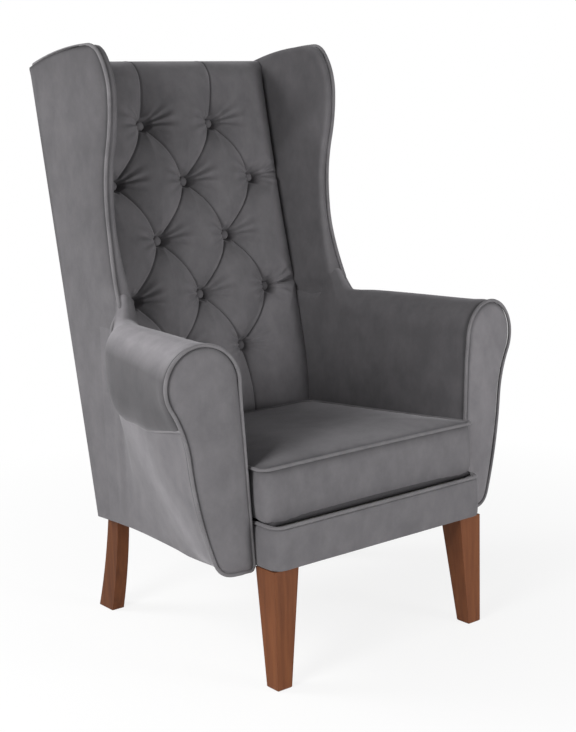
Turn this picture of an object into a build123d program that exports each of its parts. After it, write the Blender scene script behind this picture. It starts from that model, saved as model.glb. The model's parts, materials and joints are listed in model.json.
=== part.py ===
from build123d import *
import os
from math import cos, hypot, radians, sin, tan

os.makedirs("parts", exist_ok=True)

# Chesterfield wingback armchair. Millimetres, front towards -Y, right towards +X, floor at Z = 0.

# Overall sizes and common stock
HEIGHT = 1120.0
DEPTH = 716.0
LEG_HEIGHT = 216.0
CLEARANCE = 0.3
PLY = 12.0
RAIL = 24.0
WELT_RADIUS = 3.5
FRONT = -DEPTH / 2
REAR = DEPTH / 2
FAR = 2000.0

# Front legs: square, tapered on their inner and rear faces
LEG_TOP = 53.0
LEG_FOOT = 31.0
LEG_OUTSIDE = 250.0
LEG_SETBACK = 7.0
LEG_EDGE = 2.0
BOLT_RADIUS = 4.0
BOLT_DEPTH = 45.0
BOLT_RISE = 40.0
INSERT_RADIUS = 6.0
INSERT_LENGTH = 24.0
BORE_PLAY = 0.1

# Seat: raked deck on wave springs, loose boxed cushion
SEAT_RAKE = 2.4
DECK_RISE = 85.0
DECK_SETBACK = 18.0
DECK_GAP = 2.4
DECK_PAD = 12.0
FELT = 3.0
WIRE_RADIUS = 1.8
CLIP_HEIGHT = 5.6
CLIP_LENGTH = 14.0
CLIP_WIDTH = 10.0
SPRING_COUNT = 4
SPRING_PITCH = 108.0
SPRING_WIDTH = 98.0
SPRING_BENDS = 11
CUSHION_THICKNESS = 95.0
CUSHION_CROWN = 17.0
CUSHION_SHOULDER = 10.2
CUSHION_REACH = 84.0
CUSHION_GAP = 15.0
CUSHION_FRONT_WIDTH = 492.0
CUSHION_REAR_WIDTH = 436.0
CUSHION_CORNER = 28.0
CUSHION_DRAW = 3.0

# Border over the front seat rail
BORDER_WIDTH = 500.0
BORDER_PAD = 10.0
BORDER_HEIGHT = 73.0
BORDER_CORNER = 22.0
BORDER_RETURN = 66.0

# Seat box
SIDE_RAIL_HEIGHT = 44.0
BLOCK_LEG = 40.0
BLOCK_FLAT = 14.0
SCREW_RADIUS = 2.2
SCREW_HEAD_RADIUS = 4.2
SCREW_HEAD = 2.5
SCREW_BITE = 16.0
DUST_CLOTH = 1.5

# Arms
ARM_HEIGHT = 614.0
ARM_SKIRT = 6.0
ARM_INSIDE = 272.0
ARM_SPLAY = 4.5
ARM_LEAN = 17.0
ARM_WALL = 12.0
ARM_REAR = 60.0
FACING_SETBACK = 55.0
FACING_TURN = 8.0
FACING_PAD = 8.0
FACING_DEPTH = 26.0
FACING_EDGE = 8.0
FACING_FOOT = 50.0
FACING_NECK = 100.0
FACING_NECK_DROP = 194.0
NECK_SLOPE = 0.2
ROLL_RADIUS = 69.0
ROLL_TURN = 30.0
ROLL_DROP = 159.0
TAIL_DROP = 2.0
WALL_DROP = 1.5
ROLL_STATIONS = (-114.0, 0.0)
ROLL_RADII = (59.0, 51.0)
NECK_WIDTHS = (358.0, 333.0)
WAIST_WIDTHS = (329.0, 311.0)
FOOT_WIDTHS = (291.0, 282.0)
PANEL_PAD = 6.0

# Back and wings
RECLINE = 11.0
BACK_TOP = 1083.0
WING_OUTSIDE = 280.0
WING_PANEL = 11.7
WING_PAD = 18.0
WING_EDGE = 10.0
WING_ROUND = 9.0
WING_PEAK = 141.0
WING_CORNER = 45.0
WING_CORNER_TURN = 50.0
WING_BROW = 122.0
WING_WAIST = 106.0
WING_WAIST_DROP = 286.0
WING_FOOT = 65.0
WING_FOOT_RISE = 26.0
WING_WELT_SHARE = 0.96
POST_WIDTH = 27.0
POST_DEPTH = 34.0
REAR_FOOT = 50.0
REAR_SWEEP = 56.0
REAR_BOW = 6.0
BACK_COVER = 8.0
CROSS_RAIL = 56.0
BOARD = 4.7
BOARD_HALF = 214.0

# Tufted inside back
PAD_HALF = 237.0
PAD_CREST = 50.0
PAD_FOOT = 26.0
PAD_CAP = 14.0
TOP_ROW_DROP = 134.0
ROW_PITCH = 117.0
BUTTON_PITCH = 168.0
BUTTON_RADIUS = 10.0
BUTTON_DOME = 5.0
BUTTON_SINK = 40.0
BUTTON_RING = 1.0
DIMPLE_RADIUS = 42.0
PLEAT_DEPTH = 24.0
PLEAT_REACH = 60.0
PLEAT_LIP = 1.92
PLEAT_BULGE = 6.24
TIE_RADIUS = 1.0
TIE_PLAY = 0.2
WASHER_RADIUS = 9.0
WASHER = 2.0


# Helpers

def save(name, shape):
    export_step(shape, f"parts/{name}.step")


def save_pair(name, right):
    save(f"{name}_right", right)
    save(f"{name}_left", mirror(right, about=Plane.YZ))


def block(x0, x1, y0, y1, z0, z1):
    return Pos((x0 + x1) / 2, (y0 + y1) / 2, (z0 + z1) / 2) * Box(x1 - x0, y1 - y0, z1 - z0)


def outline(*edges):
    return Face(Wire(list(edges)))


def prism(points, z0, z1):
    return extrude(Pos(0, 0, z0) * make_face(Polyline(*points, close=True)), amount=z1 - z0, dir=(0, 0, 1))


def tube(path, radius):
    start = Plane(origin=path @ 0, z_dir=path % 0)
    return sweep(start * Circle(radius), path=path)


def rod(radius, length):
    return Cylinder(radius, length, align=(Align.CENTER, Align.CENTER, Align.MIN))


# Places: the raked seat frame, the reclined back plane and the turned arm facing

SEAT = Pos(0, FRONT + DECK_SETBACK, LEG_HEIGHT + DECK_RISE) * Rot(-SEAT_RAKE, 0, 0)
CLIP_TOP = -(DECK_PAD + FELT + 2 * CLEARANCE)
RAIL_TOP = CLIP_TOP - CLIP_HEIGHT
ABOVE_RAILS = SEAT * block(-FAR, FAR, -FAR, FAR, RAIL_TOP, FAR)

SLOPE = tan(radians(RECLINE))
TILT_COS = cos(radians(RECLINE))
TILT_SIN = sin(radians(RECLINE))
BACK_FOOT = REAR - (BACK_TOP - LEG_HEIGHT) * SLOPE
BACK_LENGTH = (BACK_TOP - LEG_HEIGHT) / TILT_COS
BACK = Plane(origin=(0, BACK_FOOT, LEG_HEIGHT), x_dir=(1, 0, 0), z_dir=(0, -TILT_COS, TILT_SIN))
POST_REAR = BACK_COVER + CLEARANCE
POST_FRONT = POST_REAR + POST_DEPTH
BOARD_REAR = POST_FRONT + CLEARANCE
PAD_REAR = BOARD_REAR + BOARD + CLEARANCE
POST_OUTSIDE = WING_OUTSIDE - WING_PANEL - PLY - 2 * CLEARANCE
POST_INSIDE = POST_OUTSIDE - POST_WIDTH
POST_TOP = BACK_LENGTH - PAD_CAP

FACING_COS = cos(radians(FACING_TURN))
FACING_SIN = sin(radians(FACING_TURN))
FACING_FRONT = FRONT + FACING_SETBACK
FACING = Plane(
    origin=(ARM_INSIDE, FACING_FRONT, 0),
    x_dir=(FACING_COS, FACING_SIN, 0),
    z_dir=(FACING_SIN, -FACING_COS, 0),
)
ARM_BACK = FACING_DEPTH + CLEARANCE
ARM_BOTTOM = LEG_HEIGHT - ARM_SKIRT
ROLL_CENTRE = ARM_HEIGHT - ROLL_RADIUS
ROLL_UNDER = ARM_HEIGHT - ROLL_DROP
FACING_NECK_HEIGHT = ARM_HEIGHT - FACING_NECK_DROP
ROLL_NECK = FACING_NECK + (ROLL_UNDER - FACING_NECK_HEIGHT) * NECK_SLOPE
WALL_TOP = ROLL_CENTRE - WALL_DROP
TAIL_TOP = ARM_HEIGHT - TAIL_DROP


def back_y(z, setback=0.0):
    """Y of the back at height z, set forward of the outside back by setback."""
    return BACK_FOOT + (z - LEG_HEIGHT) * SLOPE - setback / TILT_COS


def arm_x(y):
    """X of the inside arm face at depth y."""
    return ARM_INSIDE - (y - FACING_FRONT) * tan(radians(ARM_SPLAY))


def behind_facing(u, depth):
    """Plan point at u across the facing and depth behind its face."""
    x = ARM_INSIDE + u * FACING_COS - depth * FACING_SIN
    y = FACING_FRONT + u * FACING_SIN + depth * FACING_COS
    return (x, y)


def in_front_of(setback, shape):
    """What is left of a shape ahead of a plane set forward of the outside back."""
    return shape - BACK * block(-FAR, FAR, -FAR, FAR, -FAR, setback)


# Legs and their bolts

LEG_CENTRE = LEG_OUTSIDE - LEG_TOP / 2
LEG_FRONT = FRONT + LEG_SETBACK
RAIL_FRONT = FRONT + BORDER_PAD + CLEARANCE
RAIL_BACK = RAIL_FRONT + RAIL
BOLT_PLACE = Pos(LEG_CENTRE, (RAIL_FRONT + RAIL_BACK) / 2, LEG_HEIGHT)


def front_leg():
    sections = []
    for side, height in ((LEG_FOOT, 0.0), (LEG_TOP, LEG_HEIGHT)):
        corner = Pos(LEG_OUTSIDE - side / 2, LEG_FRONT + side / 2, height)
        sections.append(corner * Rectangle(side, side))
    leg = loft(sections, ruled=True)
    leg = chamfer(leg.faces().sort_by(Axis.Z)[0].edges(), LEG_EDGE)
    return leg - BOLT_PLACE * Pos(0, 0, -BOLT_DEPTH) * rod(BOLT_RADIUS + BORE_PLAY, BOLT_DEPTH)


bolt = BOLT_PLACE * Pos(0, 0, -BOLT_DEPTH) * rod(BOLT_RADIUS, BOLT_DEPTH + BOLT_RISE)
bolt_hole = BOLT_PLACE * rod(BOLT_RADIUS + BORE_PLAY, BOLT_RISE + CLEARANCE)
insert = BOLT_PLACE * (rod(INSERT_RADIUS, INSERT_LENGTH) - rod(BOLT_RADIUS + BORE_PLAY, INSERT_LENGTH))
insert_hole = BOLT_PLACE * rod(INSERT_RADIUS + BORE_PLAY, INSERT_LENGTH)
save_pair("front_leg", front_leg())
save("hanger_bolts", Compound([bolt, mirror(bolt, about=Plane.YZ)]))
save("threaded_inserts", Compound([insert, mirror(insert, about=Plane.YZ)]))


def back_post():
    """Post and raked rear leg in one piece, cut from one board."""
    rear_low = back_y(LEG_HEIGHT, POST_REAR)
    front_low = back_y(LEG_HEIGHT, POST_FRONT)
    rear_foot = rear_low + REAR_SWEEP
    front_foot = rear_foot - REAR_FOOT
    top_rear = BACK.from_local_coords((0, POST_TOP, POST_REAR))
    top_front = BACK.from_local_coords((0, POST_TOP, POST_FRONT))
    half = LEG_HEIGHT / 2
    rear_bow = ((rear_low + rear_foot) / 2 - REAR_BOW, half)
    front_bow = ((front_low + front_foot) / 2 - REAR_BOW, half)
    face = outline(
        Line((front_foot, 0), (rear_foot, 0)),
        ThreePointArc((rear_foot, 0), rear_bow, (rear_low, LEG_HEIGHT)),
        Line((rear_low, LEG_HEIGHT), (top_rear.Y, top_rear.Z)),
        Line((top_rear.Y, top_rear.Z), (top_front.Y, top_front.Z)),
        Line((top_front.Y, top_front.Z), (front_low, LEG_HEIGHT)),
        ThreePointArc((front_low, LEG_HEIGHT), front_bow, (front_foot, 0)),
    )
    return Pos(POST_INSIDE, 0, 0) * extrude(Plane.YZ * face, amount=POST_WIDTH, dir=(1, 0, 0))


save_pair("back_post", back_post())

# Seat box: rails, corner blocks and screws

BOX_HALF = BORDER_WIDTH / 2 - BORDER_PAD - CLEARANCE
BOX_INSIDE = BOX_HALF - RAIL
REAR_RAIL_FRONT = back_y(LEG_HEIGHT, POST_FRONT)
REAR_RAIL_HALF = POST_INSIDE - CLEARANCE
SIDE_RAIL_END = REAR_RAIL_FRONT - CLEARANCE
RAIL_BASE = LEG_HEIGHT


def corner_block():
    points = ((0, 0), (BLOCK_LEG, 0), (BLOCK_LEG, BLOCK_FLAT), (BLOCK_FLAT, BLOCK_LEG), (0, BLOCK_LEG))
    return prism(points, 0, SIDE_RAIL_HEIGHT)


def corner_screws(play=0.0):
    screw = Pos(0, 0, -SCREW_BITE) * rod(SCREW_RADIUS + play, BLOCK_LEG + SCREW_BITE)
    screw += Pos(0, 0, BLOCK_LEG) * rod(SCREW_HEAD_RADIUS + play, SCREW_HEAD)
    along_x = Pos(0, BLOCK_FLAT / 2, SIDE_RAIL_HEIGHT / 3) * Rot(0, 90, 0) * screw
    along_y = Pos(BLOCK_FLAT / 2, 0, SIDE_RAIL_HEIGHT * 2 / 3) * Rot(-90, 0, 0) * screw
    return [along_x, along_y]


def at_corners(shapes):
    """Copies of a corner's shapes in the four corners of the seat box."""
    inside = BOX_INSIDE - CLEARANCE
    front = RAIL_BACK + CLEARANCE
    rear = REAR_RAIL_FRONT - CLEARANCE
    copies = []
    for shape in shapes:
        front_left = Pos(-inside, front, RAIL_BASE) * shape
        rear_left = Pos(-inside, rear, RAIL_BASE) * mirror(shape, about=Plane.XZ)
        copies += [front_left, rear_left]
        copies += [mirror(front_left, about=Plane.YZ), mirror(rear_left, about=Plane.YZ)]
    return copies


screw_holes = at_corners(corner_screws(BORE_PLAY))
front_rail = block(-BOX_HALF, BOX_HALF, RAIL_FRONT, RAIL_BACK, RAIL_BASE, RAIL_BASE + DECK_RISE)
corners = front_rail.edges().filter_by(Axis.Z).group_by(Axis.Y)[0]
front_rail = fillet(corners, BORDER_CORNER - BORDER_PAD)
front_rail -= [ABOVE_RAILS, bolt_hole, insert_hole]
front_rail -= [mirror(bolt_hole, about=Plane.YZ), mirror(insert_hole, about=Plane.YZ)] + screw_holes
rear_rail = block(-REAR_RAIL_HALF, REAR_RAIL_HALF, REAR_RAIL_FRONT, REAR_RAIL_FRONT + RAIL,
                  RAIL_BASE, RAIL_BASE + DECK_RISE)
rear_rail -= [ABOVE_RAILS] + screw_holes
side_rail = block(BOX_INSIDE, BOX_HALF, RAIL_BACK + CLEARANCE, SIDE_RAIL_END,
                  RAIL_BASE, RAIL_BASE + SIDE_RAIL_HEIGHT)
side_rail -= screw_holes
save("front_seat_rail", front_rail)
save("rear_seat_rail", rear_rail)
save_pair("side_seat_rail", side_rail)
save("corner_blocks", Compound([piece - screw_holes for piece in at_corners([corner_block()])]))
save("corner_screws", Compound(at_corners(corner_screws())))

dust_half = POST_INSIDE - CLEARANCE
dust_front = LEG_FRONT + LEG_TOP + CLEARANCE
save("dust_cover", block(-dust_half, dust_half, dust_front, REAR_RAIL_FRONT + RAIL,
                         LEG_HEIGHT - DUST_CLOTH, LEG_HEIGHT))

# Springs, clips, felt and deck

SPRING_FRONT = RAIL_FRONT + RAIL / 2 - FRONT - DECK_SETBACK
SPRING_SPAN = REAR_RAIL_FRONT + RAIL / 2 - RAIL_FRONT - RAIL / 2
WIRE_HEIGHT = RAIL_TOP + CLIP_HEIGHT / 2


def spring_path():
    """One wave spring from front rail to rear rail, drawn about its own centre line."""
    bend = (SPRING_SPAN - 2 * CLIP_LENGTH) / (2 * SPRING_BENDS + 2)
    reach = SPRING_WIDTH / 2 - bend
    edges = [Line((0, -CLIP_LENGTH / 2), (0, CLIP_LENGTH))]
    edges.append(JernArc(edges[-1] @ 1, (0, 1), bend, -90))
    edges.append(Line(edges[-1] @ 1, (reach, (edges[-1] @ 1).Y)))
    side = 1
    for number in range(SPRING_BENDS):
        edges.append(JernArc(edges[-1] @ 1, (side, 0), bend, 180 * side))
        side = -side
        end = reach * side if number < SPRING_BENDS - 1 else -bend * side
        edges.append(Line(edges[-1] @ 1, (end, (edges[-1] @ 1).Y)))
    edges.append(JernArc(edges[-1] @ 1, (side, 0), bend, 90 * side))
    edges.append(Line(edges[-1] @ 1, edges[-1] @ 1 + Vector(0, CLIP_LENGTH + CLIP_LENGTH / 2, 0)))
    return Wire(edges)


def spring_places():
    first = -SPRING_PITCH * (SPRING_COUNT - 1) / 2
    return [SEAT * Pos(first + SPRING_PITCH * i, SPRING_FRONT, WIRE_HEIGHT) for i in range(SPRING_COUNT)]


def spring_clip():
    clip = Box(CLIP_WIDTH, CLIP_LENGTH, CLIP_HEIGHT)
    return clip - Rot(90, 0, 0) * Cylinder(WIRE_RADIUS + TIE_PLAY, 2 * CLIP_LENGTH)


spring = tube(spring_path(), WIRE_RADIUS)
save("seat_springs", Compound([place * spring for place in spring_places()]))
spring_end = Pos(0, SPRING_SPAN / cos(radians(SEAT_RAKE)), 0)
clips = []
for place in spring_places():
    clips += [place * spring_clip(), place * spring_end * spring_clip()]
save("spring_clips", Compound(clips))

DECK_LENGTH = REAR_RAIL_FRONT - FRONT - DECK_SETBACK - DECK_GAP


def deck_layer(z0, z1, inset):
    """Tapered layer of the deck in the raked seat frame."""
    front = CUSHION_FRONT_WIDTH / 2 - inset
    rear = CUSHION_REAR_WIDTH / 2 - inset
    points = ((-front, inset), (front, inset), (rear, DECK_LENGTH), (-rear, DECK_LENGTH))
    return SEAT * prism(points, z0, z1)


save("seat_deck_pad", deck_layer(-DECK_PAD, 0, 2 * WELT_RADIUS))
save("spring_insulator", deck_layer(-DECK_PAD - CLEARANCE - FELT, -DECK_PAD - CLEARANCE, BORDER_PAD))

# Loose seat cushion with its welt

PAD_FOOT_FRONT = back_y(LEG_HEIGHT + DECK_RISE, PAD_REAR + PAD_FOOT)
CUSHION_LENGTH = PAD_FOOT_FRONT - FRONT - DECK_SETBACK - CUSHION_GAP


def cushion_edges(inset):
    """Right half of the plan, front middle to rear middle: round corners, sides drawn in between."""
    front = CUSHION_FRONT_WIDTH / 2 - inset
    rear = CUSHION_REAR_WIDTH / 2 - inset
    near = inset
    far = CUSHION_LENGTH - inset
    r = CUSHION_CORNER
    d = CUSHION_DRAW
    lean = (front - rear) / (far - near)
    k = 1 - cos(radians(45))
    side = ((front + rear) / 2 - d, (near + far) / 2)
    start = (front - lean * r, near + r)
    finish = (rear + lean * r, far - r)
    return [
        TangentArc((0, near + d), (front - r, near), tangent=(1, 0)),
        ThreePointArc((front - r, near), (front - r * k, near + r * k), start),
        ThreePointArc(start, side, finish),
        ThreePointArc(finish, (rear - r * k, far - r * k), (rear - r, far)),
        TangentArc((0, far - d), (rear - r, far), tangent=(1, 0)),
    ]


def cushion_plan(inset, height):
    right = cushion_edges(inset)
    left = [edge.mirror(Plane.YZ) for edge in right]
    return Pos(0, 0, height) * Face(Wire(right + left))


CUSHION_SEAM = CUSHION_THICKNESS - WELT_RADIUS
CUSHION_WALL = 2 * WELT_RADIUS + 2 * CLEARANCE


def cushion():
    """Boxed cushion: upright wall inside the welt, then the crown."""
    wall = cushion_plan(CUSHION_WALL, CUSHION_SEAM)
    body = loft([cushion_plan(CUSHION_WALL, CLEARANCE), wall], ruled=True)
    crown = loft([
        wall,
        cushion_plan(CUSHION_WALL + CUSHION_CORNER, CUSHION_SEAM + CUSHION_SHOULDER),
        cushion_plan(CUSHION_WALL + CUSHION_REACH, CUSHION_SEAM + CUSHION_CROWN),
    ], ruled=True)
    return SEAT * (body + crown)


def cushion_welt():
    half = SEAT * Pos(0, 0, CUSHION_SEAM) * tube(Wire(cushion_edges(WELT_RADIUS)), WELT_RADIUS)
    return half + mirror(half, about=Plane.YZ)


save("seat_cushion", cushion())
save("cushion_welt", cushion_welt())

# Border round the front of the seat box, with its welt


def border_plan(inset):
    half = BORDER_WIDTH / 2 - inset
    front = FRONT + inset
    back = FRONT + BORDER_RETURN
    points = [(half, back), (half, front), (-half, front), (-half, back)]
    return FilletPolyline(*points, radius=BORDER_CORNER - inset)


def border():
    outside = border_plan(0)
    inside = border_plan(BORDER_PAD)
    ends = [Line(outside @ 0, inside @ 0), Line(outside @ 1, inside @ 1)]
    plan = Face(Wire(list(outside.edges()) + list(inside.edges()) + ends))
    return Pos(0, 0, LEG_HEIGHT) * extrude(plan, amount=BORDER_HEIGHT, dir=(0, 0, 1))


border_top = LEG_HEIGHT + BORDER_HEIGHT + CLEARANCE
border_path = Pos(0, 0, border_top + WELT_RADIUS) * Wire(border_plan(WELT_RADIUS).edges())
save("front_border", border())
save("border_welt", tube(border_path, WELT_RADIUS))

# Arms: scroll facing, front board, base rail, arm board, top rail, wall pad, roll, outside panel


def facing_edges():
    """Scroll outline of the facing from its inner foot over the roll to its outer foot."""
    r = ROLL_RADIUS
    c = ROLL_CENTRE
    half = radians(45)
    turn = radians(ROLL_TURN)
    inner = Line((-ARM_LEAN, ARM_BOTTOM), (0, c))
    rise = ThreePointArc((0, c), (r - r * cos(half), c + r * sin(half)), (r, c + r))
    end = (r + r * cos(turn), c - r * sin(turn))
    fall = ThreePointArc((r, c + r), (r + r * cos(turn), c + r * sin(turn)), end)
    neck = TangentArc(end, (FACING_NECK, FACING_NECK_HEIGHT), tangent=(-sin(turn), -cos(turn)))
    flank = TangentArc(neck @ 1, (FACING_FOOT, ARM_BOTTOM), tangent=neck % 1)
    return [inner, rise, fall, neck, flank]


def facing_face(inset):
    face = outline(*facing_edges(), Line((FACING_FOOT, ARM_BOTTOM), (-ARM_LEAN, ARM_BOTTOM)))
    return offset(face, -inset, kind=Kind.INTERSECTION) if inset else face


def facing_slab(inset, front, back):
    return FACING * Pos(0, 0, -back) * extrude(facing_face(inset), amount=back - front, dir=(0, 0, 1))


facing_path = FACING * Pos(0, 0, -WELT_RADIUS) * Wire(facing_edges())
facing = facing_slab(0, 0, FACING_DEPTH) - facing_slab(FACING_EDGE, FACING_PAD, FAR)
save_pair("arm_facing", facing - tube(facing_path, WELT_RADIUS + CLEARANCE))
save_pair("facing_welt", tube(facing_path, WELT_RADIUS))
save_pair("arm_front_board", facing_slab(FACING_EDGE + CLEARANCE, FACING_PAD + CLEARANCE, FACING_DEPTH))

WALL_FRONT = behind_facing(ARM_WALL, ARM_BACK)
WALL_REAR = (POST_OUTSIDE, ARM_REAR)


def wall_plan(lean, height, grow=0.0):
    """Plan of the padded arm wall; its inside face leans in below the roll."""
    front = behind_facing(-lean - grow, ARM_BACK)
    rear = arm_x(REAR) - lean - grow
    points = (front, WALL_FRONT, WALL_REAR, (POST_OUTSIDE, REAR), (rear, REAR))
    return Pos(0, 0, height) * make_face(Polyline(*points, close=True))


def arm_wall(grow=0.0):
    foot = LEG_HEIGHT + SIDE_RAIL_HEIGHT + CLEARANCE
    lean = ARM_LEAN * (WALL_TOP - foot) / (WALL_TOP - ARM_BOTTOM)
    wall = loft([wall_plan(lean, foot, grow), wall_plan(0, WALL_TOP, grow)], ruled=True)
    tail = ((arm_x(ARM_REAR) - grow, ARM_REAR), WALL_REAR, (POST_OUTSIDE, REAR), (arm_x(REAR) - grow, REAR))
    wall += prism(tail, WALL_TOP - ARM_WALL, TAIL_TOP)
    return in_front_of(BOARD_REAR, wall)


def beside_wall(gap):
    """Plan line just outside the arm wall, front point then rear point."""
    return behind_facing(ARM_WALL + gap, ARM_BACK), (WALL_REAR[0] + gap, ARM_REAR - CLEARANCE)


base_front = behind_facing(0, ARM_BACK)[1]
board_in = beside_wall(CLEARANCE)
board_out = beside_wall(CLEARANCE + PLY)
rail_out = beside_wall(0)
save_pair("arm_base_rail", prism(
    [(BOX_HALF + CLEARANCE, base_front), (rail_out[0][0], rail_out[0][1]), rail_out[1],
     (BOX_HALF + CLEARANCE, ARM_REAR - CLEARANCE)], LEG_HEIGHT, LEG_HEIGHT + SIDE_RAIL_HEIGHT))
save_pair("arm_board", prism(
    [board_in[0], board_in[1], board_out[1], board_out[0]], LEG_HEIGHT, ROLL_UNDER - PLY - CLEARANCE))
rail_reach = [(NECK_WIDTHS[i] - 2 * PANEL_PAD, ROLL_STATIONS[i]) for i in (1, 0)]
save_pair("arm_top_rail", prism(
    [board_in[0], board_in[1], board_out[1]] + rail_reach
    + [behind_facing(FACING_NECK - PANEL_PAD, ARM_BACK)], ROLL_UNDER - PLY, ROLL_UNDER))
save_pair("inside_arm_pad", arm_wall())


def arm_plane(y):
    """Plane square to Y whose own x and y run along X and Z."""
    return Plane(origin=(0, y, 0), x_dir=(1, 0, 0), z_dir=(0, -1, 0))


def roll_section(plane, inside, wall, radius, top, neck):
    """Section of the padded roll over the wall, from its inside edge to the neck."""
    foot = WALL_TOP + CLEARANCE
    under = ROLL_UNDER + CLEARANCE
    centre = top - radius
    half = radians(45)
    turn = radians(ROLL_TURN)
    middle = inside + radius
    end = (middle + radius * cos(turn), centre - radius * sin(turn))
    edges = (
        Line((inside, foot), (inside, centre)),
        ThreePointArc((inside, centre), (middle - radius * cos(half), centre + radius * sin(half)),
                      (middle, top)),
        ThreePointArc((middle, top), (middle + radius * cos(turn), centre + radius * sin(turn)), end),
        Line(end, (neck, under)),
        Line((neck, under), (wall, under)),
        Line((wall, under), (wall, foot)),
        Line((wall, foot), (inside, foot)),
    )
    return plane * outline(*edges)


def wall_x(y):
    """X just outside the arm wall at depth y."""
    share = (y - WALL_FRONT[1]) / (ARM_REAR - WALL_FRONT[1])
    return WALL_FRONT[0] + (WALL_REAR[0] - WALL_FRONT[0]) * share + CLEARANCE


def arm_roll():
    front = Plane(FACING.location * Pos(0, 0, -ARM_BACK))
    sections = [roll_section(front, 0, ARM_WALL + CLEARANCE, ROLL_RADIUS, ARM_HEIGHT, ROLL_NECK)]
    for y, radius, neck in zip(ROLL_STATIONS, ROLL_RADII, NECK_WIDTHS):
        sections.append(roll_section(arm_plane(y), arm_x(y), wall_x(y), radius, ARM_HEIGHT, neck))
    end = ARM_REAR - CLEARANCE
    radius = (WING_OUTSIDE - arm_x(end)) / 2
    sections.append(roll_section(arm_plane(end), arm_x(end), wall_x(end), radius, TAIL_TOP, WING_OUTSIDE))
    return loft(sections, ruled=True)


def panel_section(plane, neck, waist, foot):
    """Curved strip from the neck below the roll down to the foot of the arm."""
    top = ROLL_UNDER - CLEARANCE
    half = (top + ARM_BOTTOM) / 2
    t = PANEL_PAD
    edges = (
        ThreePointArc((neck, top), (waist, half), (foot, ARM_BOTTOM)),
        Line((foot, ARM_BOTTOM), (foot - t, ARM_BOTTOM)),
        ThreePointArc((foot - t, ARM_BOTTOM), (waist - t, half), (neck - t, top)),
        Line((neck - t, top), (neck, top)),
    )
    return plane * outline(*edges)


def outside_arm():
    front = Plane(FACING.location * Pos(0, 0, -ARM_BACK))
    sections = [panel_section(front, ROLL_NECK, FACING_NECK - PANEL_PAD, FACING_FOOT)]
    for y, neck, waist, foot in zip(ROLL_STATIONS, NECK_WIDTHS, WAIST_WIDTHS, FOOT_WIDTHS):
        sections.append(panel_section(arm_plane(y), neck, waist, foot))
    end = arm_plane(ARM_REAR - CLEARANCE)
    sections.append(panel_section(end, WING_OUTSIDE, WING_OUTSIDE + CLEARANCE, WING_OUTSIDE))
    return loft(sections, ruled=True)


save_pair("arm_roll", arm_roll())
save_pair("outside_arm_panel", outside_arm())

# Wings: padded inside, plywood board, outside panel that runs down the chair's side, welt

PEAK = (WING_PEAK, HEIGHT - WELT_RADIUS)


def wing_edges():
    """Wing outline in Y and Z from the rear top corner over the peak down to the arm."""
    top = TangentArc(PEAK, (REAR, BACK_TOP), tangent=(1, 0))
    corner = JernArc(PEAK, (-1, 0), WING_CORNER, WING_CORNER_TURN)
    brow = JernArc(corner @ 1, corner % 1, WING_BROW, 90 - WING_CORNER_TURN)
    waist = (WING_WAIST, HEIGHT - WING_WAIST_DROP)
    middle = (brow @ 1 + Vector(*waist)) / 2
    recede = TangentArc(brow @ 1, middle, tangent=brow % 1)
    settle = TangentArc(middle, waist, tangent=recede % 1)
    flare = TangentArc(waist, (WING_FOOT, ARM_HEIGHT + WING_FOOT_RISE), tangent=settle % 1)
    return [top, corner, brow, recede, settle, flare]


def wing_face(bottom, inset=0.0):
    low_front = (ARM_REAR, bottom)
    low_rear = (back_y(bottom), bottom)
    edges = wing_edges()
    shoulder = (ARM_REAR, ARM_HEIGHT)
    lines = [Line(edges[-1] @ 1, shoulder), Line(shoulder, low_front), Line(low_front, low_rear),
             Line(low_rear, (REAR, BACK_TOP))]
    face = outline(*edges, *lines)
    return offset(face, -inset, kind=Kind.INTERSECTION) if inset else face


def wing_slab(face, x0, x1):
    return Pos(x0, 0, 0) * extrude(Plane.YZ * face, amount=x1 - x0, dir=(1, 0, 0))


BOARD_IN = POST_OUTSIDE + CLEARANCE
BOARD_OUT = BOARD_IN + PLY


def wing_board(grow=0.0):
    """Plywood wing with its foot down to the seat box; grow widens it to make a pocket."""
    board = wing_slab(wing_face(LEG_HEIGHT, WING_EDGE - grow), BOARD_IN - grow, BOARD_OUT + grow)
    foot = block(BOARD_IN - grow, BOARD_OUT + grow, ARM_REAR - grow, WING_WAIST + PLY, LEG_HEIGHT,
                 ROLL_UNDER)
    return in_front_of(POST_REAR - grow, board + foot)


def wing_pad():
    pad = wing_slab(wing_face(TAIL_TOP + CLEARANCE), POST_OUTSIDE - WING_PAD, BOARD_OUT)
    inner = pad.faces().sort_by(Axis.X)[0].edges()
    low = TAIL_TOP + 2 * CLEARANCE
    rim = [e for e in inner if e.center().Z > low and e.center().Y < back_y(e.center().Z, WING_PAD)]
    pad = fillet(rim, WING_ROUND)
    post = block(0, POST_OUTSIDE + CLEARANCE, -FAR, POST_TOP + CLEARANCE, -FAR, BOARD_REAR)
    return in_front_of(POST_REAR, pad - wing_board(CLEARANCE) - BACK * post)


wing_line = Wire([wing_edges()[0].trim(0, WING_WELT_SHARE)] + wing_edges()[1:])
wing_path = Pos(WING_OUTSIDE - WELT_RADIUS, 0, 0) * (Plane.YZ * wing_line)
wing_groove = tube(wing_path, WELT_RADIUS + CLEARANCE)
save_pair("wing_board", wing_board())
save_pair("wing_pad", wing_pad() - wing_groove)
side_panel = wing_slab(wing_face(ARM_BOTTOM), BOARD_OUT + CLEARANCE, WING_OUTSIDE)
save_pair("outside_wing_panel", side_panel - wing_groove)
save_pair("wing_welt", tube(wing_path, WELT_RADIUS))

# Back: cross rails, board, outside back


def cross_rail(foot):
    return BACK * block(-REAR_RAIL_HALF, REAR_RAIL_HALF, foot, foot + CROSS_RAIL, POST_REAR, POST_FRONT)


def row_place(row):
    return BACK_LENGTH - TOP_ROW_DROP - ROW_PITCH * row


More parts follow.
